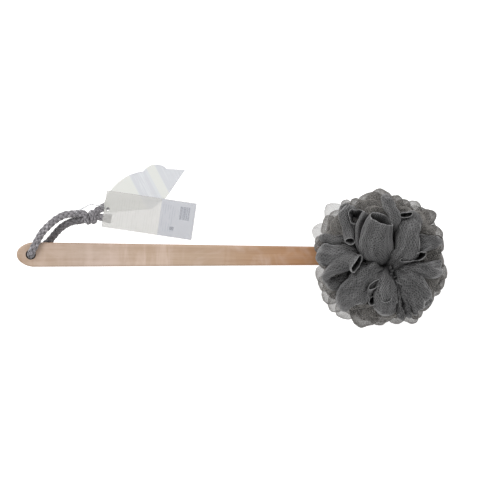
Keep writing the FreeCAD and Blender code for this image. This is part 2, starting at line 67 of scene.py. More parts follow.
TIE = np.array(JOINT["pouf_swivel"]["pos_m"]) * 1000.0      # tie hole axis = the netting's centre, mm


# ------------------------------------------------------------------------------------------------ node helpers
class Mat:
    """A small wrapper for making node materials."""

    def __init__(self, name):
        self.m = bpy.data.materials.new(name)
        self.m.use_nodes = True
        self.t = self.m.node_tree
        self.t.nodes.clear()
        self.out = self.t.nodes.new("ShaderNodeOutputMaterial")

    def n(self, kind, **props):
        node = self.t.nodes.new(kind)
        for k, v in props.items():
            setattr(node, k, v)
        return node

    def put(self, socket, value):
        if isinstance(value, bpy.types.NodeSocket):
            self.t.links.new(value, socket)
        elif isinstance(value, bpy.types.Node):
            self.t.links.new(value.outputs[0], socket)
        elif value is not None:
            socket.default_value = value

    def math(self, op, a, b=None, c=None, clamp=False):
        node = self.n("ShaderNodeMath", operation=op, use_clamp=clamp)
        for i, v in enumerate((a, b, c)):
            self.put(node.inputs[i], v) if v is not None else None
        return node.outputs[0]

    def ramp(self, fac, stops, mode="LINEAR"):
        node = self.n("ShaderNodeValToRGB")
        node.color_ramp.interpolation = mode
        el = node.color_ramp.elements
        while len(el) > len(stops):
            el.remove(el[-1])
        while len(el) < len(stops):
            el.new(0.5)
        for e, (p, c) in zip(el, stops):
            e.position = p
            e.color = tuple(c) + (1.0,) if len(c) == 3 else tuple(c)
        self.put(node.inputs[0], fac)
        return node.outputs[0]

    def maprange(self, v, a, b, c, d, smooth=False):
        node = self.n("ShaderNodeMapRange", interpolation_type="SMOOTHSTEP" if smooth else "LINEAR")
        for i, x in enumerate((v, a, b, c, d)):
            self.put(node.inputs[i], x)
        return node.outputs[0]

    def mix(self, fac, a, b, blend="MIX"):
        node = self.n("ShaderNodeMix", data_type="RGBA", blend_type=blend)
        self.put(node.inputs[0], fac)
        self.put(node.inputs[6], a)
        self.put(node.inputs[7], b)
        return node.outputs[2]

    def noise(self, vec, scale, detail=3.0, rough=0.5, distortion=0.0, dims="3D"):
        node = self.n("ShaderNodeTexNoise", noise_dimensions=dims)
        self.put(node.inputs["Vector"], vec)
        node.inputs["Scale"].default_value = scale
        node.inputs["Detail"].default_value = detail
        node.inputs["Roughness"].default_value = rough
        node.inputs["Distortion"].default_value = distortion
        return node.outputs[0]

    def scaled(self, vec, s, loc=(0, 0, 0), rot=(0, 0, 0)):
        node = self.n("ShaderNodeMapping")
        self.put(node.inputs[0], vec)
        node.inputs["Location"].default_value = loc
        node.inputs["Rotation"].default_value = rot
        node.inputs["Scale"].default_value = s
        return node.outputs[0]


def srgb(r, g, b):
    """A screen colour 0..255 as the linear colour Blender wants."""
    def f(c):
        c /= 255.0
        return c / 12.92 if c <= 0.04045 else ((c + 0.055) / 1.055) ** 2.4
    return (f(r), f(g), f(b), 1.0)


# ------------------------------------------------------------------------------------------------ mesh helpers
class Pile:
    """Collects grids into one mesh."""

    def __init__(self):
        self.v, self.q, self.uv, self.at, self.rim, self.n = [], [], [], [], [], 0

    def grid(self, P, U, V, A, rim=None, close_u=True, flip=False):
        """P (rows, cols, 3) mm. U, V (rows, cols[+1]) texture coordinates in mm. A, rim (rows, cols) point values."""
        rows, cols = P.shape[:2]
        ncol = cols if close_u else cols - 1
        r = np.arange(rows - 1)[:, None]
        c = np.arange(ncol)[None, :]
        c2 = (c + 1) % cols
        q = np.stack([r * cols + c, r * cols + c2, (r + 1) * cols + c2, (r + 1) * cols + c], -1).reshape(-1, 4)
        cu = c + 1 if close_u else c2
        W = U.shape[1]
        ui = np.stack([r * W + c, r * W + cu, (r + 1) * W + cu, (r + 1) * W + c], -1).reshape(-1, 4)
        if flip:
            q, ui = q[:, ::-1], ui[:, ::-1]
        uvs = np.stack([U.reshape(-1)[ui], V.reshape(-1)[ui]], -1)
        self.v.append(P.reshape(-1, 3))
        self.q.append(q + self.n)
        self.uv.append(uvs.reshape(-1, 2))
        self.at.append(A.reshape(-1))
        self.rim.append(np.zeros(rows * cols) if rim is None else np.ascontiguousarray(rim).reshape(-1))
        self.n += rows * cols

    def build(self, name, material, attr="gather", keep=None, middle=None):
        v = np.concatenate(self.v)
        if middle is not None:
            # painted shade: rim values that are not lit edges are lowered, most round the middle point of the netting
            rim = np.concatenate(self.rim)
            d = np.linalg.norm(v[:, :2] - middle, axis=1)
            self.rim = [np.where(rim < 0.4, rim - 0.55 * np.exp(-(d / 11.0) ** 2), rim)]
        if keep is not None:
            v = keep(v)
        q = np.concatenate(self.q)
        me = bpy.data.meshes.new(name)
        me.vertices.add(len(v))
        me.vertices.foreach_set("co", (v * MM).astype(np.float32).ravel())
        me.loops.add(q.size)
        me.loops.foreach_set("vertex_index", q.astype(np.int32).ravel())
        me.polygons.add(len(q))
        me.polygons.foreach_set("loop_start", np.arange(0, q.size, 4, dtype=np.int32))
        me.polygons.foreach_set("use_smooth", np.ones(len(q), dtype=bool))
        me.update(calc_edges=True)
        layer = me.uv_layers.new(name="UVMap")
        layer.data.foreach_set("uv", np.concatenate(self.uv).astype(np.float32).ravel())
        for key, vals in ((attr, self.at), ("rim", self.rim)):
            a = me.attributes.new(key, "FLOAT", "POINT")
            a.data.foreach_set("value", np.concatenate(vals).astype(np.float32))
        me.validate()
        ob = bpy.data.objects.new(name, me)
        bpy.context.scene.collection.objects.link(ob)
        me.materials.append(material)
        return ob


def spline(pts, n, closed=False):
    """Catmull-Rom (centripetal-ish) curve through the points, n samples evenly spread along its length."""
    p = np.asarray(pts, float)
    if closed:
        p = np.vstack([p[-1], p, p[0], p[1]])
    else:
        p = np.vstack([2 * p[0] - p[1], p, 2 * p[-1] - p[-2]])
    out = []
    for i in range(1, len(p) - 2):
        t = np.linspace(0, 1, 24, endpoint=False)[:, None]
        a, b, c, d = p[i - 1], p[i], p[i + 1], p[i + 2]
        out.append(0.5 * ((2 * b) + (-a + c) * t + (2 * a - 5 * b + 4 * c - d) * t ** 2 + (-a + 3 * b - 3 * c + d) * t ** 3))
    out.append(p[-2][None, :])
    c = np.vstack(out)
    seg = np.linalg.norm(np.diff(c, axis=0), axis=1)
    s = np.concatenate([[0], np.cumsum(seg)])
    k = np.linspace(0, s[-1], n)
    return np.stack([np.interp(k, s, c[:, j]) for j in range(c.shape[1])], -1)


def unit(v):
    return v / np.maximum(np.linalg.norm(v, axis=-1, keepdims=True), 1e-9)


def frames_along(C, up0):
    """Tangent and two side vectors along a curve, turned as little as possible."""
    T = unit(np.gradient(C, axis=0))
    A = np.zeros_like(T)
    a = np.asarray(up0, float)
    a = unit(a - T[0] * (a @ T[0]))
    for i in range(len(T)):
        a = a - T[i] * (a @ T[i])
        a = a / max(np.linalg.norm(a), 1e-9)
        A[i] = a
    return T, A, np.cross(T, A)


# ------------------------------------------------------------------------------------------------ materials
def net_material(name, tint, density, grid=0.5, pitch=2.1, rim=2.0, glance_highlight=0.8, see=0.35, crevice_shade=0.0):
    """Fine knitted netting as a veil: how much it hides grows with its density, with how far it is gathered (point
    value "gather"), along its diamond threads and where the sheet turns away from the eye. Folded edges (point value
    "rim" above 0) are denser and lighter, the lightening a painted highlight; deep inner walls (below 0) get painted
    shade. A painted highlight also lightens the sheet where it turns edge-on to the eye, and a painted shade darkens
    crevices."""
    k = Mat(name)
    uv = k.n("ShaderNodeUVMap", uv_map="UVMap").outputs[0]
    sep = k.n("ShaderNodeSeparateXYZ")
    k.put(sep.inputs[0], uv)
    wob = k.n("ShaderNodeTexNoise", noise_dimensions="2D")
    k.put(wob.inputs["Vector"], uv)
    wob.inputs["Scale"].default_value = 0.055
    wob.inputs["Detail"].default_value = 1.5
    ws = k.n("ShaderNodeSeparateColor")
    k.put(ws.inputs[0], wob.outputs["Color"])
    x = k.math("ADD", sep.outputs[0], k.math("MULTIPLY", k.math("SUBTRACT", ws.outputs[0], 0.5), 8.0))
    y = k.math("ADD", sep.outputs[1], k.math("MULTIPLY", k.math("SUBTRACT", ws.outputs[1], 0.5), 8.0))
    y = k.math("MULTIPLY", y, 0.75)
    a = k.math("PINGPONG", k.math("ADD", x, y), pitch / 2)
    b = k.math("PINGPONG", k.math("SUBTRACT", x, y), pitch / 2)
    near = k.math("MINIMUM", a, b)
    thread = k.maprange(near, 0.10, pitch * 0.30, 1.0, 0.0, smooth=True)
    gather = k.n("ShaderNodeAttribute", attribute_name="gather").outputs["Fac"]
    lip = k.n("ShaderNodeAttribute", attribute_name="rim").outputs["Fac"]
    # rim above 0: folded edges, denser and lighter (painted highlight); rim below 0: painted shade on deep inner walls
    # and at the neck
    lit = k.math("MAXIMUM", lip, 0.0)
    deep = k.math("MAXIMUM", k.math("MULTIPLY", lip, -1.0), 0.0)
    geo = k.n("ShaderNodeNewGeometry")
    dot = k.n("ShaderNodeVectorMath", operation="DOT_PRODUCT")
    k.put(dot.inputs[0], geo.outputs["Incoming"])
    k.put(dot.inputs[1], geo.outputs["Normal"])
    cos = k.math("MAXIMUM", k.math("ABSOLUTE", dot.outputs["Value"]), 0.10)
    line = k.maprange(thread, 0.0, 1.0, 1.0 - 0.50 * grid, 1.0 + 1.0 * grid)
    dens = k.math("MULTIPLY", k.math("MULTIPLY", gather, density), line)
    dens = k.math("ADD", dens, k.math("MULTIPLY", lit, 0.55))
    tone = k.noise(geo.outputs["Position"], 55.0, 2.0)
    fine = k.noise(uv, 0.55, 3.0, dims="2D")
    lum = k.math("ADD", k.maprange(tone, 0.3, 0.7, 0.84, 1.14), k.maprange(fine, 0.3, 0.7, -0.13, 0.13))
    lum = k.math("MULTIPLY", lum, k.maprange(thread, 0.0, 1.0, 1.0 - 0.27 * grid, 1.0 + 0.33 * grid))
    # lengthwise streaks: painted shading of pleats in the colour, plus a real change in how dense the net is
    streak = k.noise(k.scaled(uv, (0.42, 0.035, 1.0)), 1.0, 2.0, 0.6, dims="2D")
    lum = k.math("MULTIPLY", lum, k.maprange(streak, 0.3, 0.7, 0.83, 1.17))
    dens = k.math("MULTIPLY", dens, k.maprange(streak, 0.3, 0.7, 0.80, 1.25))
    hide = k.math("SUBTRACT", 1.0, k.math("EXPONENT", k.math("MULTIPLY", k.math("DIVIDE", dens, cos), -1.0)), clamp=True)
    # painted highlight on folded edges, then painted shade on deep inner walls
    lum = k.math("MULTIPLY", lum, k.math("ADD", 1.0, k.math("MULTIPLY", lit, rim - 1.0)))
    lum = k.math("MULTIPLY", lum, k.maprange(deep, 0.0, 1.0, 1.0, 0.20))
    # painted shade: ambient occlusion darkens the colour in crevices between sheets
    if crevice_shade:
        ao = k.n("ShaderNodeAmbientOcclusion", samples=6, only_local=False)
        ao.inputs["Distance"].default_value = 0.011
        lum = k.math("MULTIPLY", lum, k.maprange(ao.outputs["AO"], 0.15, 0.85, 1.0 - crevice_shade, 1.0))
    # painted highlight: the colour lightens where the sheet turns edge-on to the eye
    edge = k.maprange(cos, 0.10, 0.70, 1.0, 0.0, smooth=True)
    lum = k.math("MULTIPLY", lum, k.math("ADD", 1.0, k.math("MULTIPLY", edge, glance_highlight)))
    col = k.n("ShaderNodeVectorMath", operation="SCALE")
    col.inputs[0].default_value = tint[:3]
    k.put(col.inputs["Scale"], lum)
    d = k.n("ShaderNodeBsdfDiffuse")
    k.put(d.inputs[0], col)
    tr = k.n("ShaderNodeBsdfTranslucent")
    k.put(tr.inputs[0], col)
    gl = k.n("ShaderNodeBsdfGlossy")
    gl.inputs["Roughness"].default_value = 0.5
    gl.inputs[0].default_value = (0.7, 0.7, 0.7, 1)
    m1 = k.n("ShaderNodeMixShader")
    m1.inputs[0].default_value = see
    k.put(m1.inputs[1], d), k.put(m1.inputs[2], tr)
    m2 = k.n("ShaderNodeMixShader")
    m2.inputs[0].default_value = 0.02
    k.put(m2.inputs[1], m1), k.put(m2.inputs[2], gl)
    hole = k.n("ShaderNodeBsdfTransparent")
    m3 = k.n("ShaderNodeMixShader")
    k.put(m3.inputs[0], hide)
    k.put(m3.inputs[1], hole), k.put(m3.inputs[2], m2)
    k.put(k.out.inputs[0], m3)
    return k.m


# the dense netting is the same grey net as the others; its darker tint is painted shade from the many layers inside the
# rosette
NET_DENSE_SHADED = net_material("netting_dense_shaded", (0.118, 0.117, 0.118), 1.2, grid=0.55, pitch=2.3, rim=1.9, glance_highlight=1.3, see=0.2, crevice_shade=0.72)
NET_MID = net_material("netting_mid", (0.232, 0.221, 0.208), 0.33, grid=0.24, pitch=2.3, rim=1.4, glance_highlight=0.1, crevice_shade=0.38)
NET_SHEER = net_material("netting_sheer", (0.215, 0.204, 0.193), 0.27, grid=0.38, pitch=2.3, rim=1.0, glance_highlight=0.0, see=0.45)


# ------------------------------------------------------------------------------------------------ netting
def wiggle(rng, n, ks, amp):
    """Smooth periodic noise round a ring of n points: {k: phase} sums of sines."""
    a = np.linspace(0, 2 * np.pi, n, endpoint=False)
    out = np.zeros(n)
    for k in ks:
        out += rng.normal(0, amp / math.sqrt(len(ks))) * np.sin(k * a + rng.uniform(0, 2 * np.pi))
    return out


def field(seed, waves, lengths, amp):
    """A smooth random push through space, mm: neighbours move together, so sheets keep their order."""
    rng = np.random.default_rng(seed)
    d = unit(rng.normal(size=(waves, 3)))
    k = d * (2 * np.pi / rng.uniform(*lengths, size=(waves, 1)))
    ph = rng.uniform(0, 2 * np.pi, waves)
    push = unit(rng.normal(size=(waves, 3))) * (amp * math.sqrt(2.0 / waves))

    def f(v):
        out = np.zeros_like(v)
        for i in range(waves):
            out += np.sin(v @ k[i] + ph[i])[:, None] * push[i]
        return out
    return f


def prof(vals, t):
    """Smooth profile through values spread evenly over 0..1 (or (t, value) pairs)."""
    if np.ndim(vals) == 0:
        return np.full_like(t, float(vals))
    v = np.asarray(vals, float)
    if v.ndim == 1:
        x, y = np.linspace(0, 1, len(v)), v
    else:
        x, y = v[:, 0], v[:, 1]
    # monotone-ish cubic through the points
    m = np.gradient(y, x)
    i = np.clip(np.searchsorted(x, t) - 1, 0, len(x) - 2)
    h = x[i + 1] - x[i]
    u = np.clip((t - x[i]) / h, 0, 1)
    return ((2 * u ** 3 - 3 * u ** 2 + 1) * y[i] + (u ** 3 - 2 * u ** 2 + u) * h * m[i]
            + (-2 * u ** 3 + 3 * u ** 2) * y[i + 1] + (u ** 3 - u ** 2) * h * m[i + 1])


def petal(pile, axis, width, depth, seed, mouth=True, tilt=0.0, roll=0.0, ply=0.6, wave=0.09, folds=0.05, n=72,
          rows=30, twist=0.0, side=None, pinch=0.0, gather=1.0, belly=0.0, squareness=2.0, cap=0.62, blunt=2.2, flare=0.0, pleat=0.018, dark=4.5):
    """One loop of gathered netting: a double-walled funnel of net that starts at the neck and runs out along axis
    (points in mm from the netting's centre). width and depth are profiles of its half sizes. mouth leaves the far end
    open with a rolled rim; without it the far end closes in a round tip."""
    rng = np.random.default_rng(seed)
    nr = 180
    C = spline(axis, nr)
    T = unit(np.gradient(C, axis=0))
    if side is None:
        e = C[-1] * [1, 1, 0]
        e = unit(e)
        side = np.array([-e[1], e[0], 0.0])
    side = np.asarray(side, float)
    S = unit(side[None, :] - T * (T @ side)[:, None])
    N = np.cross(T, S)
    t = np.linspace(0, 1, nr)
    rl = np.radians(roll) + np.radians(twist) * t
    S, N = S * np.cos(rl)[:, None] + N * np.sin(rl)[:, None], N * np.cos(rl)[:, None] - S * np.sin(rl)[:, None]
    a_, b_ = prof(width, t), prof(depth, t)
    if not mouth:
        u = np.clip((t - cap) / (1 - cap), 0, 1)
        shut = np.sqrt(np.clip(1 - u ** blunt, 0.0, 1))
        a_, b_ = a_ * shut + 0.2, b_ * shut ** 1.1 + 0.2
    elif flare:
        a_, b_ = a_ * (1 + flare * np.clip((t - 0.85) / 0.15, 0, 1) ** 2), b_ * (1 + flare * np.clip((t - 0.85) / 0.15, 0, 1) ** 2)
    al = np.linspace(0, 2 * np.pi, n, endpoint=False)
    ca, sa = np.cos(al), np.sin(al)
    q = 2.0 / squareness
    X, Y = np.sign(ca) * np.abs(ca) ** q, np.sign(sa) * np.abs(sa) ** q
    w1 = sum(rng.normal(0, 0.6) * np.sin(k * al + rng.uniform(0, 6.28)) for k in (2, 3, 4, 5))
    ph = rng.uniform(0, 6.28, 4)
    crease = sum(np.abs(np.sin((k * al + rng.uniform(0, 6.28)) / 2)) for k in (9, 14)) - 1.3
    L = np.linalg.norm(np.diff(C, axis=0), axis=1).sum()
    peri = math.pi * (a_.max() + b_.max()) * 1.05 * (1 + pinch)

    def ring(tt, off, inner=False):
        """Points of the ring at parameter tt (array over angle) moved in by off."""
        x = np.clip(tt, 0, 1) * (nr - 1)
        i = np.clip(x.astype(int), 0, nr - 2)
        f = (x - i)[:, None]

        def at(A):
            return A[i] * (1 - f) + A[i + 1] * f
        over = np.clip(tt - 1, 0, None)[:, None] * L
        c = at(C) + at(T) * over
        aa = (a_[i] * (1 - f[:, 0]) + a_[i + 1] * f[:, 0])
        bb = (b_[i] * (1 - f[:, 0]) + b_[i + 1] * f[:, 0])
        k = 1 + wave * w1 * np.clip(tt, 0, 1) ** 0.7 + folds * crease * np.exp(-np.clip(tt, 0, 2) / 0.5)
        k = k + pleat * (np.sin(9 * al + ph[1] + 1.6 * tt) + 0.7 * np.sin(14 * al + ph[2] - 1.1 * tt)) * np.clip(tt * 3, 0, 1)
        if inner:
            k = k * (1 + 0.03 * np.sin(3 * al + ph[0] + 5 * tt))
        aa = np.maximum(aa * k - off, 0.15)
        bb = np.maximum(bb * k - off, 0.12)
        p = c + at(S) * (aa * X)[:, None] + at(N) * (bb * Y)[:, None]
        if belly:
            p = p + at(N) * (belly * np.sin(np.pi * np.clip(tt, 0, 1)) * (X ** 2))[:, None]
        g = peri / np.maximum(math.pi * (aa + bb) * 1.05, 0.5)
        return p, g
    rim = 1.0 - tilt * (0.5 + 0.5 * sa)
    P, G, V, R = [], [], [], []
    edge_mm = 0.75
    if mouth:
        stations = np.concatenate([np.linspace(0.0, 0.95, rows - 3), np.linspace(0.965, 1.0, 4)])
    else:
        stations = np.concatenate([np.linspace(0.0, cap, rows - 9)[:-1], cap + (1 - cap) * np.sin(np.linspace(0, np.pi / 2, 13))])
    for tt in stations:
        p, g = ring(tt * rim, 0.0)
        # rim value: painted highlight at the lip, painted shade deep in the neck
        lip = max(0.0, 1 - (1 - tt) * L / edge_mm) if mouth else 0.0
        P.append(p), G.append(g), V.append(tt * L), R.append(max(lip, 0.0) - 0.85 * max(0.0, 1 - tt / 0.38))
    if mouth:
        # rolled rim: painted highlight
        for psi in np.radians([35, 75, 110, 145, 180]):
            off = ply / 2 * (1 - math.cos(psi))
            p, g = ring(rim + (ply / 2) / L * math.sin(psi), off)
            P.append(p), G.append(g), V.append(L + ply / 2 * psi), R.append(1.0)
        # inner wall: painted highlight just inside the lip, painted shade further in, full within dark mm
        for tt in np.concatenate([[0.985], np.linspace(0.955, 0.22, 15)]):
            p, g = ring(tt * rim, ply + (1 - tt) * 0.9, True)
            P.append(p), G.append(g), V.append(L + 2 * ply + (1 - tt) * L)
            R.append(max(0.0, 0.8 - (1 - tt) * L / edge_mm) - min(1.0, (1 - tt) * L / dark))
    P = np.array(P)
    G = np.clip(np.array(G), 0.9, 2.6) ** 0.8 * gather
    U = np.broadcast_to((np.arange(n + 1) / n * peri + rng.uniform(0, 9))[None, :], (len(P), n + 1))
    V = np.broadcast_to((np.array(V) + rng.uniform(0, 9))[:, None], (len(P), n + 1))
    pile.grid(P, U, V, G, np.broadcast_to(np.array(R)[:, None], G.shape))


def ruffle(pile, theta, loops, amp, R, seed, z_sign=1, neck=(6.0, 7.5), lift=20.0, cols=30, rows=20, ply=1.4, backfold=0.5,
           gather=1.0, flat=0.87, phase0=0.0, skip=None, droop=0.0):
    """A gathered length of net tubing round the neck: a folded double sheet whose free edge meanders in and out."""
    rng = np.random.default_rng(seed)
    n = loops * cols
    s = np.linspace(0, 2 * np.pi, n, endpoint=False)
    warp = s + wiggle(rng, n, (2, 3, 5, 7), 0.16)
    ph = loops * warp + phase0
    ampl = amp * (1 + 0.35 * wiggle(rng, n, range(3, loops + 3), 0.8))
    phi = warp + backfold / loops * np.sin(2 * ph + 0.4)
    th = np.radians(theta + ampl * np.sin(ph) + 4 * wiggle(rng, n, (2, 3, 4), 0.8))
    Rr = R * (1 + 0.05 * wiggle(rng, n, (3, 5, 8, 11), 0.9))
    d = np.stack([np.sin(th) * np.cos(phi), np.sin(th) * np.sin(phi), np.cos(th)], -1)
    e = np.stack([np.cos(phi), np.sin(phi), np.zeros(n)], -1)
    rho0, z0 = neck
    P0 = e * rho0 + [0, 0, z0]
    P1 = e * (rho0 * 0.8) + [0, 0, z0 + lift]
    P3 = d * Rr[:, None] * [1, 1, flat]
    P2 = d * (Rr * 0.62)[:, None] * [1, 1, flat] + [0, 0, 6.0]
    P3 = P3 + [0, 0, -droop]

    def mid(v):
        v = v[:, None, None]
        return (1 - v) ** 3 * P0 + 3 * (1 - v) ** 2 * v * P1 + 3 * (1 - v) * v ** 2 * P2 + v ** 3 * P3
    v = np.linspace(0, 1, rows)
    M = mid(v)
    along = np.gradient(M, axis=0)
    across = np.roll(M, -1, 1) - np.roll(M, 1, 1)
    N = unit(np.cross(across, along))
    h = ply * (0.35 + 0.65 * np.clip(v / 0.5, 0, 1)) * np.sqrt(np.clip(1 - v ** 8, 0, 1))
    h = h[:, None, None] * (1 + 0.5 * np.stack([wiggle(rng, n, range(4, 14), 0.8)] * rows)[:, :, None])
    A, B = M + N * h, (M - N * h)[::-1]
    P = np.concatenate([A, B[1:]])
    L = R
    vv = np.concatenate([v, 2 - v[::-1][1:]]) * L
    rim = np.linalg.norm(np.diff(np.vstack([P3, P3[:1]]), axis=0), axis=1)
    U = np.concatenate([[0], np.cumsum(rim)])
    wid = np.linalg.norm(across, axis=2) / 2
    g = np.clip(rim[None, :] / np.maximum(wid, 0.02), 0.9, 2.6) ** 0.8
    G = np.concatenate([g, g[::-1][1:]]) * gather
    # painted highlight at the folded edge, painted shade near the neck
    lip = np.clip((v - 0.93) / 0.07, 0, 1) * 0.8 - 0.6 * np.clip(1 - v / 0.55, 0, 1)
    lip = np.concatenate([lip, lip[::-1][1:]])
    P = P * [1, 1, z_sign]
    pile.grid(P, np.broadcast_to(U[None, :], (len(P), n + 1)), np.broadcast_to(vv[:, None], (len(P), n + 1)), G,
              np.broadcast_to(lip[:, None], G.shape), flip=z_sign < 0)


CRUMPLE = [field(5, 14, (22, 40), 1.3), field(6, 18, (8, 14), 0.55), field(7, 22, (3.6, 6.0), 0.16)]


def guard(v, front):
    """Pushes net (mm from the tie hole's centre) clear of the handle's passage and of the binding cord."""
    x, y, z = v.T
    rho = np.hypot(x, y)
    sg = np.where(np.abs(z) < 1e-6, 1.0 if front >= 0 else -1.0, np.sign(z)) if front == 0 else np.full(len(z), float(front))
    half = 13.8 + np.clip((12.0 - x) / 87.0, 0, None) * 13.6
    inside = np.clip((half + 5.0 - np.abs(y)) / 5.0, 0, 1) * np.clip((17.0 - x) / 4.0, 0, 1)
    inside = inside * inside * (3 - 2 * inside)
    zmin = 7.1 * inside
    ring = np.clip((rho - 10.0) / 0.7, 0, 1) * np.clip((14.9 - rho) / 1.0, 0, 1)
    zmin = np.maximum(zmin, 10.3 * ring)
    zmin = np.where(rho < 10.4, np.maximum(zmin, 7.0), zmin)
    v = v.copy()
    v[:, 2] = np.where(z * sg < zmin, zmin, z * sg) * sg
    return v


def keep_out(front):
    """Crumples the net a little, keeps it clear of the handle and the binding cord, then moves it to the row frame."""
    def f(v):
        grip = np.clip((np.linalg.norm(v, axis=1) - 12) / 20, 0, 1)[:, None]
        return guard(v + sum(g(v) for g in CRUMPLE) * grip, front) + TIE
    return f


def settle(ob, front, frames=8, grow=0.06, most=1.8):
    """A short cloth run: the net, held at the neck and lightly elsewhere, grows a little and buckles into wrinkles.
    It runs ten times up in size, and each point may move at most a few millimetres. The result is kept in the mesh."""
    me = ob.data
    n = len(me.vertices)
    co = np.empty(n * 3, np.float32)
    me.vertices.foreach_get("co", co)
    co = co.reshape(-1, 3).astype(float)
    rest = co / MM - TIE
    sim_me = me.copy()
    sim_me.vertices.foreach_set("co", (rest * 0.01).astype(np.float32).ravel())
    sim = bpy.data.objects.new("settle", sim_me)
    bpy.context.scene.collection.objects.link(sim)
    far = np.linalg.norm(rest, axis=1)
    held = sim.vertex_groups.new(name="held")
    loose = np.clip((far - 16.0) / 16.0, 0, 1)
    level = np.round(1.0 - 0.97 * loose, 2)
    for w in np.unique(level):
        held.add(np.flatnonzero(level == w).tolist(), float(max(w, 0.02)), "REPLACE")
    mod = sim.modifiers.new("cloth", "CLOTH")
    c = mod.settings
    c.quality = 4
    c.mass = 0.05
    c.tension_stiffness = c.compression_stiffness = 12.0
    c.shear_stiffness = 6.0
    c.bending_stiffness = 0.02
    c.tension_damping = c.compression_damping = c.shear_damping = 4.0
    c.air_damping = 4.0
    c.vertex_group_mass = "held"
    c.pin_stiffness = 0.25
    c.shrink_min = c.shrink_max = -grow
    c.effector_weights.gravity = 0.15
    mod.collision_settings.use_collision = False
    mod.collision_settings.use_self_collision = False
    scene = bpy.context.scene
    mod.point_cache.frame_start, mod.point_cache.frame_end = 1, frames
    for frame_no in range(1, frames + 1):
        scene.frame_set(frame_no)
    done = sim.evaluated_get(bpy.context.evaluated_depsgraph_get())
    out = np.empty(n * 3, np.float32)
    done.data.vertices.foreach_get("co", out)
    move = out.reshape(-1, 3).astype(float) / 0.01 - rest
    move[~np.isfinite(move).all(1)] = 0.0
    size = np.linalg.norm(move, axis=1)
    print("cloth run: mean move %.2f mm, largest %.2f mm" % (size.mean(), size.max()))
    move *= (most * np.tanh(size / most) / np.maximum(size, 1e-9))[:, None]
    v = guard(rest + move, front) + TIE
    me.vertices.foreach_set("co", (v * MM).astype(np.float32).ravel())
    me.update()
    bpy.data.objects.remove(sim, do_unlink=True)
    bpy.data.meshes.remove(sim_me)
    scene.frame_set(1)


EYE = 1266.0        # mm from the netting's middle to the eye that the layout below is drawn for
MID = np.array([-132.8, 13.8])


def laid(points):
    """Layout points (where each point is seen against the plane through the netting's middle) to true points."""
    p = np.asarray(points, float) + [0.0, 1.5, 0.0]
    p[:, :2] = MID + (p[:, :2] - MID) * (1 - p[:, 2:3] / EYE)
    return p


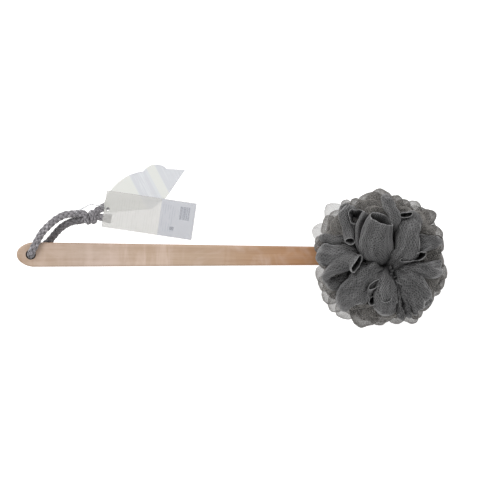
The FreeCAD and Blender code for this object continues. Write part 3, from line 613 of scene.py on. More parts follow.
# the big front loops: axis points, half widths, half depths, and how the far end is finished
FRONT = [
    # upper cup with its mouth turned up
    dict(axis=[(2, -6, 8), (2, -6.5, 26), (-1.5, 1, 38), (-4.5, 12, 44), (-1.5, 25.5, 46.5), (3.0, 37.2, 48.5)], width=[2.5, 4.5, 12.0, 15.6, 13.8, 10.0],
         depth=[2.5, 3.5, 7, 9, 8.5, 5.6], tilt=0.10, seed=1, wave=0.03, flare=0.04, folds=0.02),
    # leaf to its right
    dict(axis=[(4, -8, 8), (10.5, -9.5, 27), (18, -2, 36), (23.5, 8, 40), (27, 20, 41.5), (29.4, 31, 40), (30.0, 40.5, 37)], width=[2.5, 4.0, 7.5, 11.2, 12.0, 10.8, 9.2],
         depth=[2.5, 4, 7, 9, 8, 6, 4.6], seed=2, roll=-6, wave=0.04, folds=0.03, mouth=False, cap=0.80, blunt=3.0),
    dict(axis=[(6, -6, 8), (14, 10, 22), (20, 26, 36), (23.5, 36.5, 42), (24.5, 38.2, 47.5)], width=[2.5, 3.5, 5, 6.0, 6.2],
         depth=[2.5, 3, 3.4, 3.0, 2.6], seed=22, side=(0.97, 0.22, 0), wave=0.04),
    # ribbon that comes up between the two and curls over
    dict(axis=[(5, -3, 8), (11, 8, 22), (14.2, 20, 37), (15.8, 30, 45), (13.0, 40, 47), (8.5, 49, 43), (4, 57.0, 33)], width=[2, 2.5, 2.6, 3.6, 5.4, 6.4, 6.6],
         depth=[2, 2.0, 2.2, 2.4, 2.8, 3.4, 3.6], seed=3, roll=8, twist=-22, wave=0.03, mouth=False, cap=0.8),
    # walls left of the cup, seen along their edges
    dict(axis=[(0, -4, 8), (-9, -2, 26), (-18, 8, 37), (-21, 20, 41), (-18, 32, 42), (-13, 39.5, 40)], width=[3, 4, 6, 5.5, 4.5, 3.5],
         depth=[3, 4, 4, 3.5, 3, 2.6], seed=4, roll=52, wave=0.03),
    dict(axis=[(-2, -3, 8), (-15, 2, 24), (-24, 12, 34), (-26, 22, 37), (-24, 30, 37)], width=[3, 4, 5, 4.5, 3.5],
         depth=[3, 3.5, 3.4, 3, 2.4], seed=44, roll=66, wave=0.03),
    # finger folded back down, its small mouth turned up
    dict(axis=[(-5, 4, 8), (-17, 26, 16), (-28, 42, 22), (-32, 37, 33), (-31, 26, 38.5), (-30, 16.5, 40), (-28.2, 10.5, 44.5)], width=[3, 4, 5, 5.6, 6.0, 5.6, 4.2],
         depth=[3, 4, 4, 4, 3.8, 3.6, 3.2], seed=5, side=(1, 0, 0), wave=0.04, tilt=0.05),
    # round loop behind it, open towards the eye
    dict(axis=[(-2, 0, 8), (-11, 13, 25), (-17, 25, 33), (-21, 33, 37), (-22.5, 37, 42.5)], width=[3, 5, 6.5, 7.6, 7.6],
         depth=[3, 4.5, 5.5, 6.8, 7.0], seed=6, tilt=0.06, wave=0.07),
    dict(axis=[(-3, 2, 8), (-16, 20, 24), (-30, 38, 27), (-37, 46, 20)], width=[3, 5, 7, 7], depth=[3, 4, 5, 4], seed=46, mouth=False, wave=0.07, gather=0.55),
    # broad fold lying over the handle
    dict(axis=[(-1, -3, 8), (-14, -1.5, 27), (-31, 0, 35), (-48, -1, 31), (-62, -3, 21)], width=[3, 5, 8.5, 9.8, 9.8],
         depth=[3, 5, 7, 7, 5.5], seed=7, mouth=False, wave=0.09, blunt=2.6),
    dict(axis=[(-1, 0, 8), (-16, 5, 22), (-34, 11, 28), (-48, 14, 25), (-58, 15, 18)], width=[3, 4, 7, 8, 8],
         depth=[3, 4, 5, 5, 4], seed=47, mouth=False, wave=0.10, gather=0.6),
    # funnel whose slit looks back at the middle
    dict(axis=[(-4, -5, 8), (-18, -15, 15), (-38, -25, 20), (-50, -19, 30), (-43, -11, 38), (-32, -7, 41.5), (-25.5, -6.8, 43.5), (-22, -8.2, 49)],
         width=[3, 5, 6.5, 7, 6.6, 7.2, 8.8, 10.2], depth=[3, 4, 4.5, 4.5, 4.2, 4.2, 4.2, 4.0], seed=8, side=(0.54, 0.84, 0), ply=0.7, wave=0.03, dark=3.0),
    dict(axis=[(-2, -6, 8), (-14, -12, 24), (-30, -20, 31), (-43, -25, 27), (-52, -28, 18)], width=[3, 4.5, 8, 9.5, 9], depth=[3, 4, 5, 5, 4],
         seed=81, mouth=False, wave=0.07, gather=0.7),
    # long tongue, lower left
    dict(axis=[(0, -6, 8), (-5, -11, 30), (-14, -20, 39.5), (-25, -33, 41), (-33, -44, 35), (-38.5, -51, 27)], width=[2.5, 4.5, 9, 11.0, 11.5, 10.5],
         depth=[2.5, 4, 7, 7.5, 6, 5], seed=9, mouth=False, wave=0.045, cap=0.66, blunt=2.6),
    # its neighbour, a narrow tongue, and the pocket that opens upwards on it
    dict(axis=[(1, -8, 8), (-1, -14, 31), (-7, -25, 40), (-15, -37, 40.0), (-22, -48, 33)], width=[2, 3.5, 5.5, 6, 5.5],
         depth=[2, 3.5, 5, 5, 4], seed=48, mouth=False, wave=0.05),
    dict(axis=[(1, -8, 8), (-5, -24, 18), (-10, -33, 29), (-7, -31.5, 38), (-3.4, -28.2, 46.5)], width=[2.5, 4, 6.5, 8.4, 9.0],
         depth=[2.5, 3.5, 4.0, 4.0, 3.2], seed=10, side=(0.80, 0.60, 0), wave=0.03, ply=0.7, dark=1.2),
    # small round mouth
    dict(axis=[(1, -8, 8), (-3, -28, 26), (-6.5, -39, 35), (-7.2, -43.5, 43)], width=[2, 3, 3.6, 3.9], depth=[2, 3, 3.6, 3.8],
         seed=49, wave=0.05, tilt=0.06),
    # tongue, bottom middle, with a small cup on it
    dict(axis=[(3, -9, 8), (5, -15, 30), (5, -28, 39), (5.5, -42, 39.5), (5.5, -57, 29)], width=[2.5, 4, 9.0, 10.8, 10.2],
         depth=[2.5, 4, 7, 7, 5], seed=11, mouth=False, wave=0.05, blunt=2.8, cap=0.7),
    dict(axis=[(4, -8, 8), (3.5, -24, 30), (5.5, -39, 41), (6, -43.5, 48.5)], width=[2, 3.5, 4.8, 5.4],
         depth=[2, 2.5, 2.8, 2.6], seed=12, tilt=0.08, wave=0.05),
    # big one, lower right, and the upright folds on its left
    dict(axis=[(6, -9, 8), (13, -15, 28), (25, -25, 37), (34, -38, 36.5), (39, -53, 25)], width=[2.5, 5, 11.0, 13.0, 11.5],
         depth=[2.5, 5, 8, 8, 6], seed=13, wave=0.08, folds=0.10, mouth=False, blunt=3.0, cap=0.72, pleat=0.06),
    dict(axis=[(5, -10, 8), (9, -18, 30), (15.0, -31, 39.5), (18.0, -45, 38), (20.5, -60, 28)], width=[2, 3, 3.8, 4.4, 4.6], depth=[2, 2, 2.4, 2.4, 2.0],
         seed=50, roll=66, mouth=False, cap=0.86, wave=0.05),
    dict(axis=[(6, -10, 8), (12, -17, 29), (20.0, -30, 39.5), (24.5, -44, 38.5), (28, -60, 28)], width=[2, 3, 4.0, 4.8, 4.8], depth=[2, 2, 2.2, 2.2, 1.8],
         seed=51, roll=62, mouth=False, cap=0.86, wave=0.05),
    dict(axis=[(7, -9, 8), (15, -16, 28), (26, -30, 41), (31, -43, 39.5), (35, -59, 28)], width=[2, 3, 4.0, 5.0, 5.0], depth=[2, 2, 2.2, 2.2, 1.8],
         seed=52, roll=56, mouth=False, cap=0.86, wave=0.05),
    dict(axis=[(7, -8, 8), (17, -14, 28), (31, -25, 41), (38, -37, 40), (44, -51, 28)], width=[2, 3, 3.4, 4.0, 4.0], depth=[2, 2, 2.0, 2.0, 1.6],
         seed=53, roll=50, mouth=False, cap=0.86, wave=0.05),
    # folds to the right
    dict(axis=[(8, -8, 8), (17, -12, 27), (31, -14, 36.5), (44, -15, 34), (57.5, -15, 25)], width=[2.5, 4, 7.5, 8.5, 8.5],
         depth=[2.5, 4, 6, 6, 5], seed=14, wave=0.08, folds=0.09, mouth=False, blunt=2.6, pleat=0.05),
    dict(axis=[(8, -8, 8), (17, -9, 28), (31, -9.5, 38), (43, -9.5, 37), (56, -9, 27)], width=[2.5, 3, 3.5, 4.5, 5.0],
         depth=[2, 2.5, 3, 3, 2.4], seed=54, roll=30, wave=0.06),
    # long pocket standing on edge, its slit turned up
    dict(axis=[(8, -5, 8), (18, -4.5, 20), (28, -2.2, 31), (31.5, -1.2, 45.5)], width=[3, 7, 10.5, 12.4], depth=[2, 2.6, 3.0, 3.2], seed=15,
         side=(0.94, 0.34, 0), ply=0.7, wave=0.02, dark=2.5),
    dict(axis=[(6, -4, 8), (18, 3, 25), (34, 9, 33), (48, 12, 31), (58, 13, 23)], width=[2.5, 4, 6, 7, 7], depth=[2.5, 3, 5, 5, 4], seed=17,
         mouth=False, wave=0.08),
]
# a column of little gathers below the middle
for i, (gx, gy) in enumerate([(9.5, -11), (12, -13.5), (10.5, -16.5), (14, -19), (12.5, -22.5), (16, -25), (14.5, -28.5), (18, -31)]):
    FRONT.append(dict(axis=[(5, -8, 8), (gx * 0.8, gy * 0.8, 24), (gx, gy, 36 + i * 0.5), (gx + 0.3, gy - 0.5, 41.5 + i * 0.3)], width=[1.5, 1.6, 1.9, 2.1],
                      depth=[1.5, 1.3, 1.4, 1.2], seed=60 + i, n=28, rows=14, roll=30 * (-1) ** i, wave=0.12, mouth=False, cap=0.7, blunt=2.6))
for spec in FRONT:
    spec["axis"] = laid(spec["axis"])

# outline lobes: where the tip is (mm from the middle), half width, height of the tip, how far it hides
LOBES = [
    ((-10.0, 59.0), 11.5, 9, 1.7), ((2.0, 61.0), 13.0, 7, 1.6), ((16.2, 55.8), 7.0, 9, 2.3), ((25.3, 50.4), 7.0, 10, 2.6),
    ((36.5, 48.6), 7.5, 5, 1.2), ((44.5, 42.0), 6.5, 6, 1.6), ((50.7, 38.4), 7.0, 12, 3.4), ((56.5, 21.5), 9.0, 7, 1.7),
    ((60.0, 9.5), 9.0, 8, 1.9), ((60.9, -4.7), 8.5, 6, 1.7), ((63.4, -20.5), 10.5, 6, 1.8), ((61.0, -29.5), 9.0, 5, 2.2), ((55.0, -37.0), 8.5, 5, 1.6),
    ((47.4, -50.5), 9.0, 9, 2.8), ((39.0, -57.5), 8.0, 7, 2.0), ((30.6, -65.2), 9.0, 5, 1.2), ((17.6, -66.0), 8.5, 5, 1.5),
    ((-3.8, -65.6), 9.5, 5, 1.6), ((-20.2, -66.5), 13.5, 6, 2.0), ((-37.0, -58.6), 10.0, 5, 0.8), ((-46.5, -50.0), 8.5, 6, 0.8),
    ((-52.4, -41.5), 9.5, 5, 0.8), ((-57.0, -31.0), 8.5, 8, 1.0), ((-61.0, -20.5), 10.0, 6, 0.8), ((-59.0, -6.0), 8.5, 10, 2.6),
    ((-60.6, 14.0), 5.0, 9, 1.6), ((-61.5, 8.0), 6.0, 10, 2.4), ((-63.8, 24.4), 8.5, 6, 0.28), ((-48.6, 44.6), 9.0, 5, 0.28),
    ((-54.0, 32.0), 9.0, 10, 1.5), ((-34.7, 49.6), 4.5, 4, 1.0), ((-35.0, 46.2), 6.5, 16, 2.6), ((-23.8, 51.8), 7.0, 10, 2.0),
]
# a second round of denser lobes in front of those
INNER = [
    ((-40, -33), 12, 20, 0.8), ((-28, -50), 14, 16, 0.55), ((-8, -58), 12, 14, 0.65), ((12, -59), 12, 14, 1.0), ((33, -56), 12, 14, 1.2),
    ((47, -42), 12, 15, 1.3), ((55, -24), 12, 14, 1.2), ((56, -7), 11, 15, 1.2), ((55, 9), 12, 16, 1.2), ((50, 24), 12, 17, 1.3), ((41, 37), 11, 18, 1.4),
    ((25, 45), 11, 19, 1.4), ((8, 53), 13, 17, 0.8), ((-12, 53), 13, 18, 0.8), ((-27, 45), 11, 19, 1.4), ((-42, 35), 12, 19, 1.5), ((-50, 21), 12, 19, 1.5),
    ((-53, -14), 12, 16, 1.0), ((-47, -26), 12, 14, 0.7), ((-42, -38), 12, 12, 0.5), ((30, 30), 14, 24, 1.3), ((-5, 46), 13, 26, 0.9), ((-34, 28), 12, 26, 1.4),
    ((44, -8), 14, 22, 1.2), ((-33, -38), 12, 24, 0.9), ((24, -46), 13, 24, 1.3), ((-14, -50), 12, 22, 0.7), ((-46, -22), 9, 26, 1.5),
]


def lobe(pile, tip, half, z, veil, seed, lift=20.0):
    """A soft round loop of loose net that ends at its tip."""
    rng = np.random.default_rng(seed)
    tip = np.array([tip[0], tip[1], 0.0])
    r = np.linalg.norm(tip)
    e = tip / r
    e2 = np.array([-e[1], e[0], 0.0])
    k = np.array([0, 0, 1.0])
    s = rng.uniform(-4, 4)
    axis = [e * 6 + k * 8, e * 12 + k * (8 + lift * 0.6) + e2 * s * 0.4, e * r * 0.5 + k * (z * 0.6 + lift * 0.5) + e2 * s, e * r * 0.8 + k * (z + 3) + e2 * s * 0.5,
            e * (r + 1.0) + k * z]
    w = half * rng.uniform(0.97, 1.03)
    d = rng.uniform(0.40, 0.58) * w
    axis = laid(axis)
    petal(pile, axis, [3, w * 0.5, w * 0.85, w * 1.05, w * 1.0], [3, d * 0.8, d, d, d * 0.9], seed, mouth=False, roll=rng.uniform(-16, 16), wave=0.04,
          folds=0.03, gather=veil, cap=max(0.45, 1 - 1.05 * half / np.linalg.norm(np.diff(spline(axis, 60), axis=0), axis=1).sum()), blunt=2.0)


def loose_petals(pile, count, theta, R, seed, width=(10, 14), depth=(4, 6.5), start=0.0, closed=0.4, **kw):
    """Loops of net spread round the neck at about one polar angle, each a little different."""
    rng = np.random.default_rng(seed)
    for i in range(count):
        phi = start + 2 * np.pi * (i + rng.uniform(-0.22, 0.22)) / count
        th = np.radians(theta + rng.uniform(-5, 5))
        r = R * rng.uniform(0.96, 1.04)
        e = np.array([math.cos(phi), math.sin(phi), 0.0])
        k = np.array([0, 0, 1.0])
        rt, zt = r * math.sin(th), r * 0.87 * math.cos(th)
        lift = 18 + 12 * math.cos(th)
        bend = rng.uniform(-0.16, 0.16)
        e2 = np.array([-e[1], e[0], 0.0])
        axis = [e * rng.uniform(4, 8) + k * 8, e * (5 + 6 * math.sin(th)) + k * (8 + lift), e * rt * 0.55 + k * (zt * 0.9 + 9) + e2 * bend * 20,
                e * rt * 0.82 + k * (zt + 3) + e2 * bend * 30, e * rt + k * zt + e2 * bend * 34]
        w, d = rng.uniform(*width), rng.uniform(*depth)
        petal(pile, axis, [3, w * 0.55, w * 0.9, w, w * rng.uniform(0.8, 1.0)], [3, d * 0.7, d, d, d * 0.8], seed * 100 + i,
              mouth=rng.uniform() > closed, tilt=rng.uniform(-0.1, 0.2), roll=rng.uniform(-28, 28), twist=rng.uniform(-20, 20), **kw)


def flip_z(pile):
    """Mirrors the piled net to the back side."""
    pile.v = [v * [1, 1, -1] for v in pile.v]
    pile.q = [q[:, ::-1] for q in pile.q]
    pile.uv = [u.reshape(-1, 4, 2)[:, ::-1].reshape(-1, 2) for u in pile.uv]


NETS = []


def net_piece(pile, name, material, node, front, middle=None, cloth=0.0):
    ob = pile.build(name, material, keep=keep_out(front), middle=middle)
    if cloth:
        settle(ob, front, grow=cloth)
    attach(ob, "pouf")
    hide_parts(node)
    NETS.append(ob)
    return ob


# front rosette: the listed loops
pl = Pile()
for spec in FRONT:
    if not spec.get("mouth", True):
        petal(pl, **spec)
net_piece(pl, "netting_front_loops", NET_DENSE_SHADED, "net_front_rosette", 1, middle=(3.5, -7.0), cloth=0.06)
# the open funnels among them have two walls and keep their laid shape
pl = Pile()
for spec in FRONT:
    if spec.get("mouth", True):
        petal(pl, **spec)
net_piece(pl, "netting_front_funnels", NET_DENSE_SHADED, "net_front_rosette", 1, middle=(3.5, -7.0))
# behind them, gathers that fill the neck
pl = Pile()
ruffle(pl, 36, 9, 8, 40, 21, neck=(5.5, 8), lift=16)
ruffle(pl, 55, 12, 8, 46, 22, neck=(7, 8), lift=14)
net_piece(pl, "netting_front_gathers", NET_DENSE_SHADED, "net_front_rosette", 1)
# front ruffle: looser loops between the rosette and the fringe
pl = Pile()
for i, (tip, half, z, veil) in enumerate(INNER):
    lobe(pl, tip, half, z, veil, 300 + i, lift=26)
ruffle(pl, 70, 13, 8, 49, 23, neck=(8.5, 8), lift=12)
net_piece(pl, "netting_front_ruffle", NET_MID, "net_front_ruffle", 1)
# side fringe: thin loops that make the outline, from both sides of the handle
pl = Pile()
for i, (tip, half, z, veil) in enumerate(LOBES):
    lobe(pl, tip, half, z, veil, 200 + i)
ring = sorted(LOBES, key=lambda o: math.atan2(o[0][1], o[0][0]))
for i, (one, two) in enumerate(zip(ring, ring[1:] + ring[:1])):
    a = math.atan2(one[0][1] + two[0][1], one[0][0] + two[0][0])
    r = min(math.hypot(*one[0]), math.hypot(*two[0])) - 3.0 - 5.0 * (one[3] < 1.1 or two[3] < 1.1)
    gap = math.dist(one[0], two[0])
    lobe(pl, (r * math.cos(a), r * math.sin(a)), min(max(gap * 0.6, 7.0), 13.0), (one[2] + two[2]) / 2 + 3, 0.5 + 0.25 * (one[3] + two[3]) / 2, 400 + i)
net_piece(pl, "netting_fringe_front", NET_SHEER, "net_side_fringe", 1)
pl = Pile()
for i in range(24):
    a = 2 * math.pi * (i + 0.35 * math.sin(3.7 * i)) / 24
    near = min(LOBES, key=lambda o: abs(math.remainder(math.atan2(o[0][1], o[0][0]) - a, 2 * math.pi)))
    r = math.hypot(*near[0]) - 5.0 - 2.5 * math.sin(5.1 * i) ** 2
    lobe(pl, (r * math.cos(a), r * math.sin(a)), 10.0 + 2.0 * math.sin(2.3 * i), 7 + 3 * math.sin(1.7 * i), 0.7, 250 + i)
flip_z(pl)
net_piece(pl, "netting_fringe_back", NET_SHEER, "net_side_fringe", -1)
# back
pl = Pile()
loose_petals(pl, 13, 62, 57, 51, width=(10, 14), depth=(5, 8), start=0.3)
ruffle(pl, 74, 13, 9, 50, 24, neck=(8.5, 8), lift=14)
flip_z(pl)
net_piece(pl, "netting_back_ruffle", NET_MID, "net_back_ruffle", -1)
pl = Pile()
loose_petals(pl, 6, 22, 54, 61, width=(11, 15), depth=(6, 9), start=0.5, closed=0.75)
loose_petals(pl, 10, 44, 57, 62, width=(10, 15), depth=(6, 9), start=0.2, closed=0.8)
ruffle(pl, 34, 9, 9, 42, 25, neck=(5.5, 8), lift=20)
flip_z(pl)
net_piece(pl, "netting_back_loops", NET_DENSE_SHADED, "net_back_rosette", -1)


# ------------------------------------------------------------------------------------------------ handle
def wood_material():
    """Bare pale hardwood: lengthwise grain lines, soft cross-light patches, darker and warmer towards the netting (the
    wood's own tone plus painted shade from the netting), painted shade at edges that turn away from above and inside
    the hang hole.
    """
    k = Mat("handle_wood")
    geo = k.n("ShaderNodeNewGeometry")
    obj = k.n("ShaderNodeTexCoord").outputs["Object"]
    sep = k.n("ShaderNodeSeparateXYZ")
    k.put(sep.inputs[0], obj)
    x0, x1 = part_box("handle")[0].x, TIE[0] * MM - 0.062
    along = k.maprange(sep.outputs[0], x0, x1, 0.0, 1.0)
    # the wood's own tone along the handle; its darkening towards the netting is partly painted shade from the netting
    base = k.ramp(along, [(0.0, srgb(171, 149, 129)[:3]), (0.25, srgb(180, 161, 147)[:3]), (0.42, srgb(179, 157, 138)[:3]),
                          (0.62, srgb(177, 154, 133)[:3]), (0.83, srgb(169, 136, 107)[:3]), (0.97, srgb(166, 124, 88)[:3])])
    long = k.scaled(obj, (9.0, 260.0, 90.0))
    grain = k.noise(long, 1.0, 6.0, 0.62, 0.4)
    fine = k.noise(k.scaled(obj, (38.0, 1500.0, 600.0)), 1.0, 3.0, 0.6)
    patch = k.noise(k.scaled(obj, (26.0, 34.0, 60.0), rot=(0, 0, 0.5)), 1.0, 3.0, 0.6, 1.2)
    fleck = k.noise(k.scaled(obj, (160.0, 900.0, 200.0)), 1.0, 2.0, 0.5)
    c1 = k.mix(k.maprange(grain, 0.36, 0.68, 0.0, 0.42), base, k.mix(1.0, base, (0.66, 0.56, 0.47, 1), "MULTIPLY"))
    c2 = k.mix(k.maprange(fine, 0.45, 0.75, 0.0, 0.30), c1, k.mix(1.0, c1, (0.70, 0.62, 0.55, 1), "MULTIPLY"))
    c3 = k.mix(k.maprange(patch, 0.48, 0.72, 0.0, 0.42), c2, srgb(200, 180, 170))
    c4 = k.mix(k.maprange(fleck, 0.64, 0.74, 0.0, 0.35), c3, srgb(150, 118, 92))
    nz = k.n("ShaderNodeSeparateXYZ")
    k.put(nz.inputs[0], geo.outputs["Normal"])
    # painted shade: edges and sides that face away from above are darker
    edge = k.maprange(k.math("ABSOLUTE", nz.outputs[2]), 0.25, 0.97, 1.0, 0.0, smooth=True)
    flame = k.noise(k.scaled(obj, (92.0, 15.0, 40.0), rot=(0, 0, 0.12)), 1.0, 3.0, 0.55, 1.1)
    where = k.noise(k.scaled(obj, (16.0, 5.0, 5.0), loc=(2.3, 0, 0)), 1.0, 1.0)
    c4 = k.mix(k.math("MULTIPLY", k.math("MULTIPLY", k.maprange(flame, 0.40, 0.72, 0.0, 0.42, smooth=True), k.maprange(where, 0.40, 0.58, 0.15, 1.0)), k.maprange(along, 0.55, 0.78, 1.0, 0.0)), c4, srgb(207, 187, 176))
    c5 = k.mix(k.math("MULTIPLY", edge, 0.75), c4, srgb(140, 106, 80))
    # painted shade: the wood turns near black inside the hang hole
    off = k.n("ShaderNodeVectorMath", operation="DISTANCE")
    flat_p = k.n("ShaderNodeCombineXYZ")
    k.put(flat_p.inputs[0], sep.outputs[0]), k.put(flat_p.inputs[1], sep.outputs[1])
    k.put(off.inputs[0], flat_p)
    off.inputs[1].default_value = (HANG[0] * MM, HANG[1] * MM, 0.0)
    c5 = k.mix(k.maprange(off.outputs["Value"], 0.0045, 0.0050, 1.0, 0.0), c5, (0.012, 0.009, 0.007, 1))
    b = k.n("ShaderNodeBsdfPrincipled")
    k.put(b.inputs["Base Color"], c5)
    k.put(b.inputs["Roughness"], k.maprange(fine, 0.3, 0.7, 0.42, 0.60))
    b.inputs["Specular IOR Level"].default_value = 0.35
    bump = k.n("ShaderNodeBump")
    bump.inputs["Strength"].default_value = 0.22
    bump.inputs["Distance"].default_value = 0.0002
    k.put(bump.inputs["Height"], k.math("ADD", grain, k.math("MULTIPLY", fine, 0.7)))
    k.put(b.inputs["Normal"], bump)
    k.put(k.out.inputs[0], b)
    return k.m


def dress(node, material, angle=35):
    ob = frame["nodes"][node]
    ob.data.materials.clear()
    ob.data.materials.append(material)
    for f in ob.data.polygons:
        f.use_smooth = True
    ws = ob.modifiers.new("normals", "WEIGHTED_NORMAL")
    ws.keep_sharp = True
    return ob


handle = dress("handle", wood_material())


# ------------------------------------------------------------------------------------------------ hang cord
def cord_material(name, base, light, dark):
    """Braided yarn. The point value "gather" is how far a yarn lies on the outside: low values sink into painted shade,
    and the outermost yarns take light flecks as a painted highlight.
    """
    k = Mat(name)
    obj = k.n("ShaderNodeTexCoord").outputs["Object"]
    yarn = k.n("ShaderNodeAttribute", attribute_name="gather").outputs["Fac"]
    n1 = k.noise(obj, 900.0, 3.0, 0.6)
    n2 = k.noise(obj, 260.0, 2.0, 0.5)
    c = k.mix(k.maprange(n1, 0.35, 0.68, 0.0, 1.0), dark, base)
    # painted highlight: light flecks on the outermost yarns
    c = k.mix(k.math("MULTIPLY", k.maprange(n2, 0.5, 0.70, 0.0, 0.40), k.maprange(yarn, 0.6, 1.0, 0.1, 1.0)), c, light)
    shade = k.n("ShaderNodeVectorMath", operation="SCALE")
    k.put(shade.inputs[0], c)
    k.put(shade.inputs["Scale"], k.maprange(yarn, 0.0, 1.0, 0.10, 1.12))
    b = k.n("ShaderNodeBsdfPrincipled")
    k.put(b.inputs["Base Color"], shade)
    b.inputs["Roughness"].default_value = 0.78
    b.inputs["Sheen Weight"].default_value = 0.25
    b.inputs["Sheen Roughness"].default_value = 0.5
    bump = k.n("ShaderNodeBump")
    bump.inputs["Strength"].default_value = 0.5
    bump.inputs["Distance"].default_value = 0.0003
    k.put(bump.inputs["Height"], n1)
    k.put(b.inputs["Normal"], bump)
    k.put(k.out.inputs[0], b)
    return k.m


CORD_MAT = cord_material("braided_cord", srgb(143, 140, 144), srgb(202, 200, 204), srgb(90, 87, 90))


def tube(pile, C, radius, sides=6, value=1.0, up=(0, 0, 1), ends=True, flat=1.0, nrm=None):
    """A round yarn along C (mm). radius may vary along it. flat squeezes it along nrm."""
    T, A, B = frames_along(C, up)
    if nrm is not None:
        A = unit(nrm - T * np.sum(nrm * T, 1)[:, None])
        B = np.cross(T, A)
    r = np.broadcast_to(np.asarray(radius, float), (len(C),)).copy()
    al = np.linspace(0, 2 * np.pi, sides, endpoint=False)
    ring = A[:, None, :] * (np.cos(al) * flat)[None, :, None] + B[:, None, :] * np.sin(al)[None, :, None]
    P = C[:, None, :] + ring * r[:, None, None]
    if ends:
        P = np.concatenate([C[:1, None, :] + 0 * P[:1], P, C[-1:, None, :] + 0 * P[-1:]])
    rows = len(P)
    U = np.broadcast_to(np.arange(sides + 1)[None, :] * 1.0, (rows, sides + 1))
    V = np.broadcast_to(np.arange(rows)[:, None] * 1.0, (rows, sides + 1))
    val = np.broadcast_to(np.asarray(value, float), (len(C),))
    if ends:
        val = np.concatenate([val[:1], val, val[-1:]])
    pile.grid(P, U, V, np.broadcast_to(val[:, None], (rows, sides)))


def braid(pile, C, R, tone, strands=8, pitch=22.0, seed=0):
    """A round braid: strands yarns, half each way round, that pass over and under one another on a core. tone is
    painted
    shade along it: how light each point along it is."""
    L = np.linalg.norm(np.diff(C, axis=0), axis=1).sum()
    n = max(30, int(L / 0.5))
    x0, x1 = np.linspace(0, 1, len(C)), np.linspace(0, 1, n)
    C = np.stack([np.interp(x1, x0, C[:, a]) for a in range(3)], -1)
    R, tone = np.interp(x1, x0, R), np.interp(x1, x0, tone)
    T, A, B = frames_along(C, (0, 0, 1))
    s = np.linspace(0, L, n)
    rng = np.random.default_rng(seed)
    half = strands // 2
    for d in (1, -1):
        for i in range(half):
            a = d * 2 * np.pi * s / pitch + 2 * np.pi * i / half
            weave = d * np.cos(half * 2 * np.pi * s / pitch)
            wide = R * 0.46 * (0.90 + 0.16 * weave)
            rad = R - 0.8 * (R / 3.0) + weave * 0.30 * (R / 3.0)
            out = A * np.cos(a)[:, None] + B * np.sin(a)[:, None]
            # painted shade: each yarn is darker where it passes under the others
            value = (0.60 + 0.40 * weave + rng.uniform(-0.06, 0.06)) * tone
            tube(pile, C + out * rad[:, None], wide, sides=8, value=np.clip(value, 0.05, 1.1), nrm=out, flat=0.52)
    # the core is painted dark as the shade between the yarns
    tube(pile, C, R * 0.66, sides=10, value=0.10)


U_LEG = [(37.0, 38.5, 1.7), (30.6, 37.3, 2.2), (22.9, 32.7, 4.1), (16.5, 26.8, 5.9), (11.0, 20.6, 7.1), (6.2, 12.2, 7.4), (2.9, 5.7, 7.35)]
L_LEG = [(3.3, 2.8, -7.35), (9.0, 7.3, -7.4), (15.5, 12.6, -7.35), (20.2, 18.1, -6.7), (25.6, 24.1, -5.5), (31.7, 28.6, -3.7), (39.0, 31.7, -2.4)]
HOLE = [(1.1, 1.9, 6.4), (0.25, 0.25, 4.0), (0.0, -0.15, 0.0), (0.15, 0.0, -4.0), (1.4, 1.0, -6.4)]
K = np.array([56.3, 35.6, 0.0])


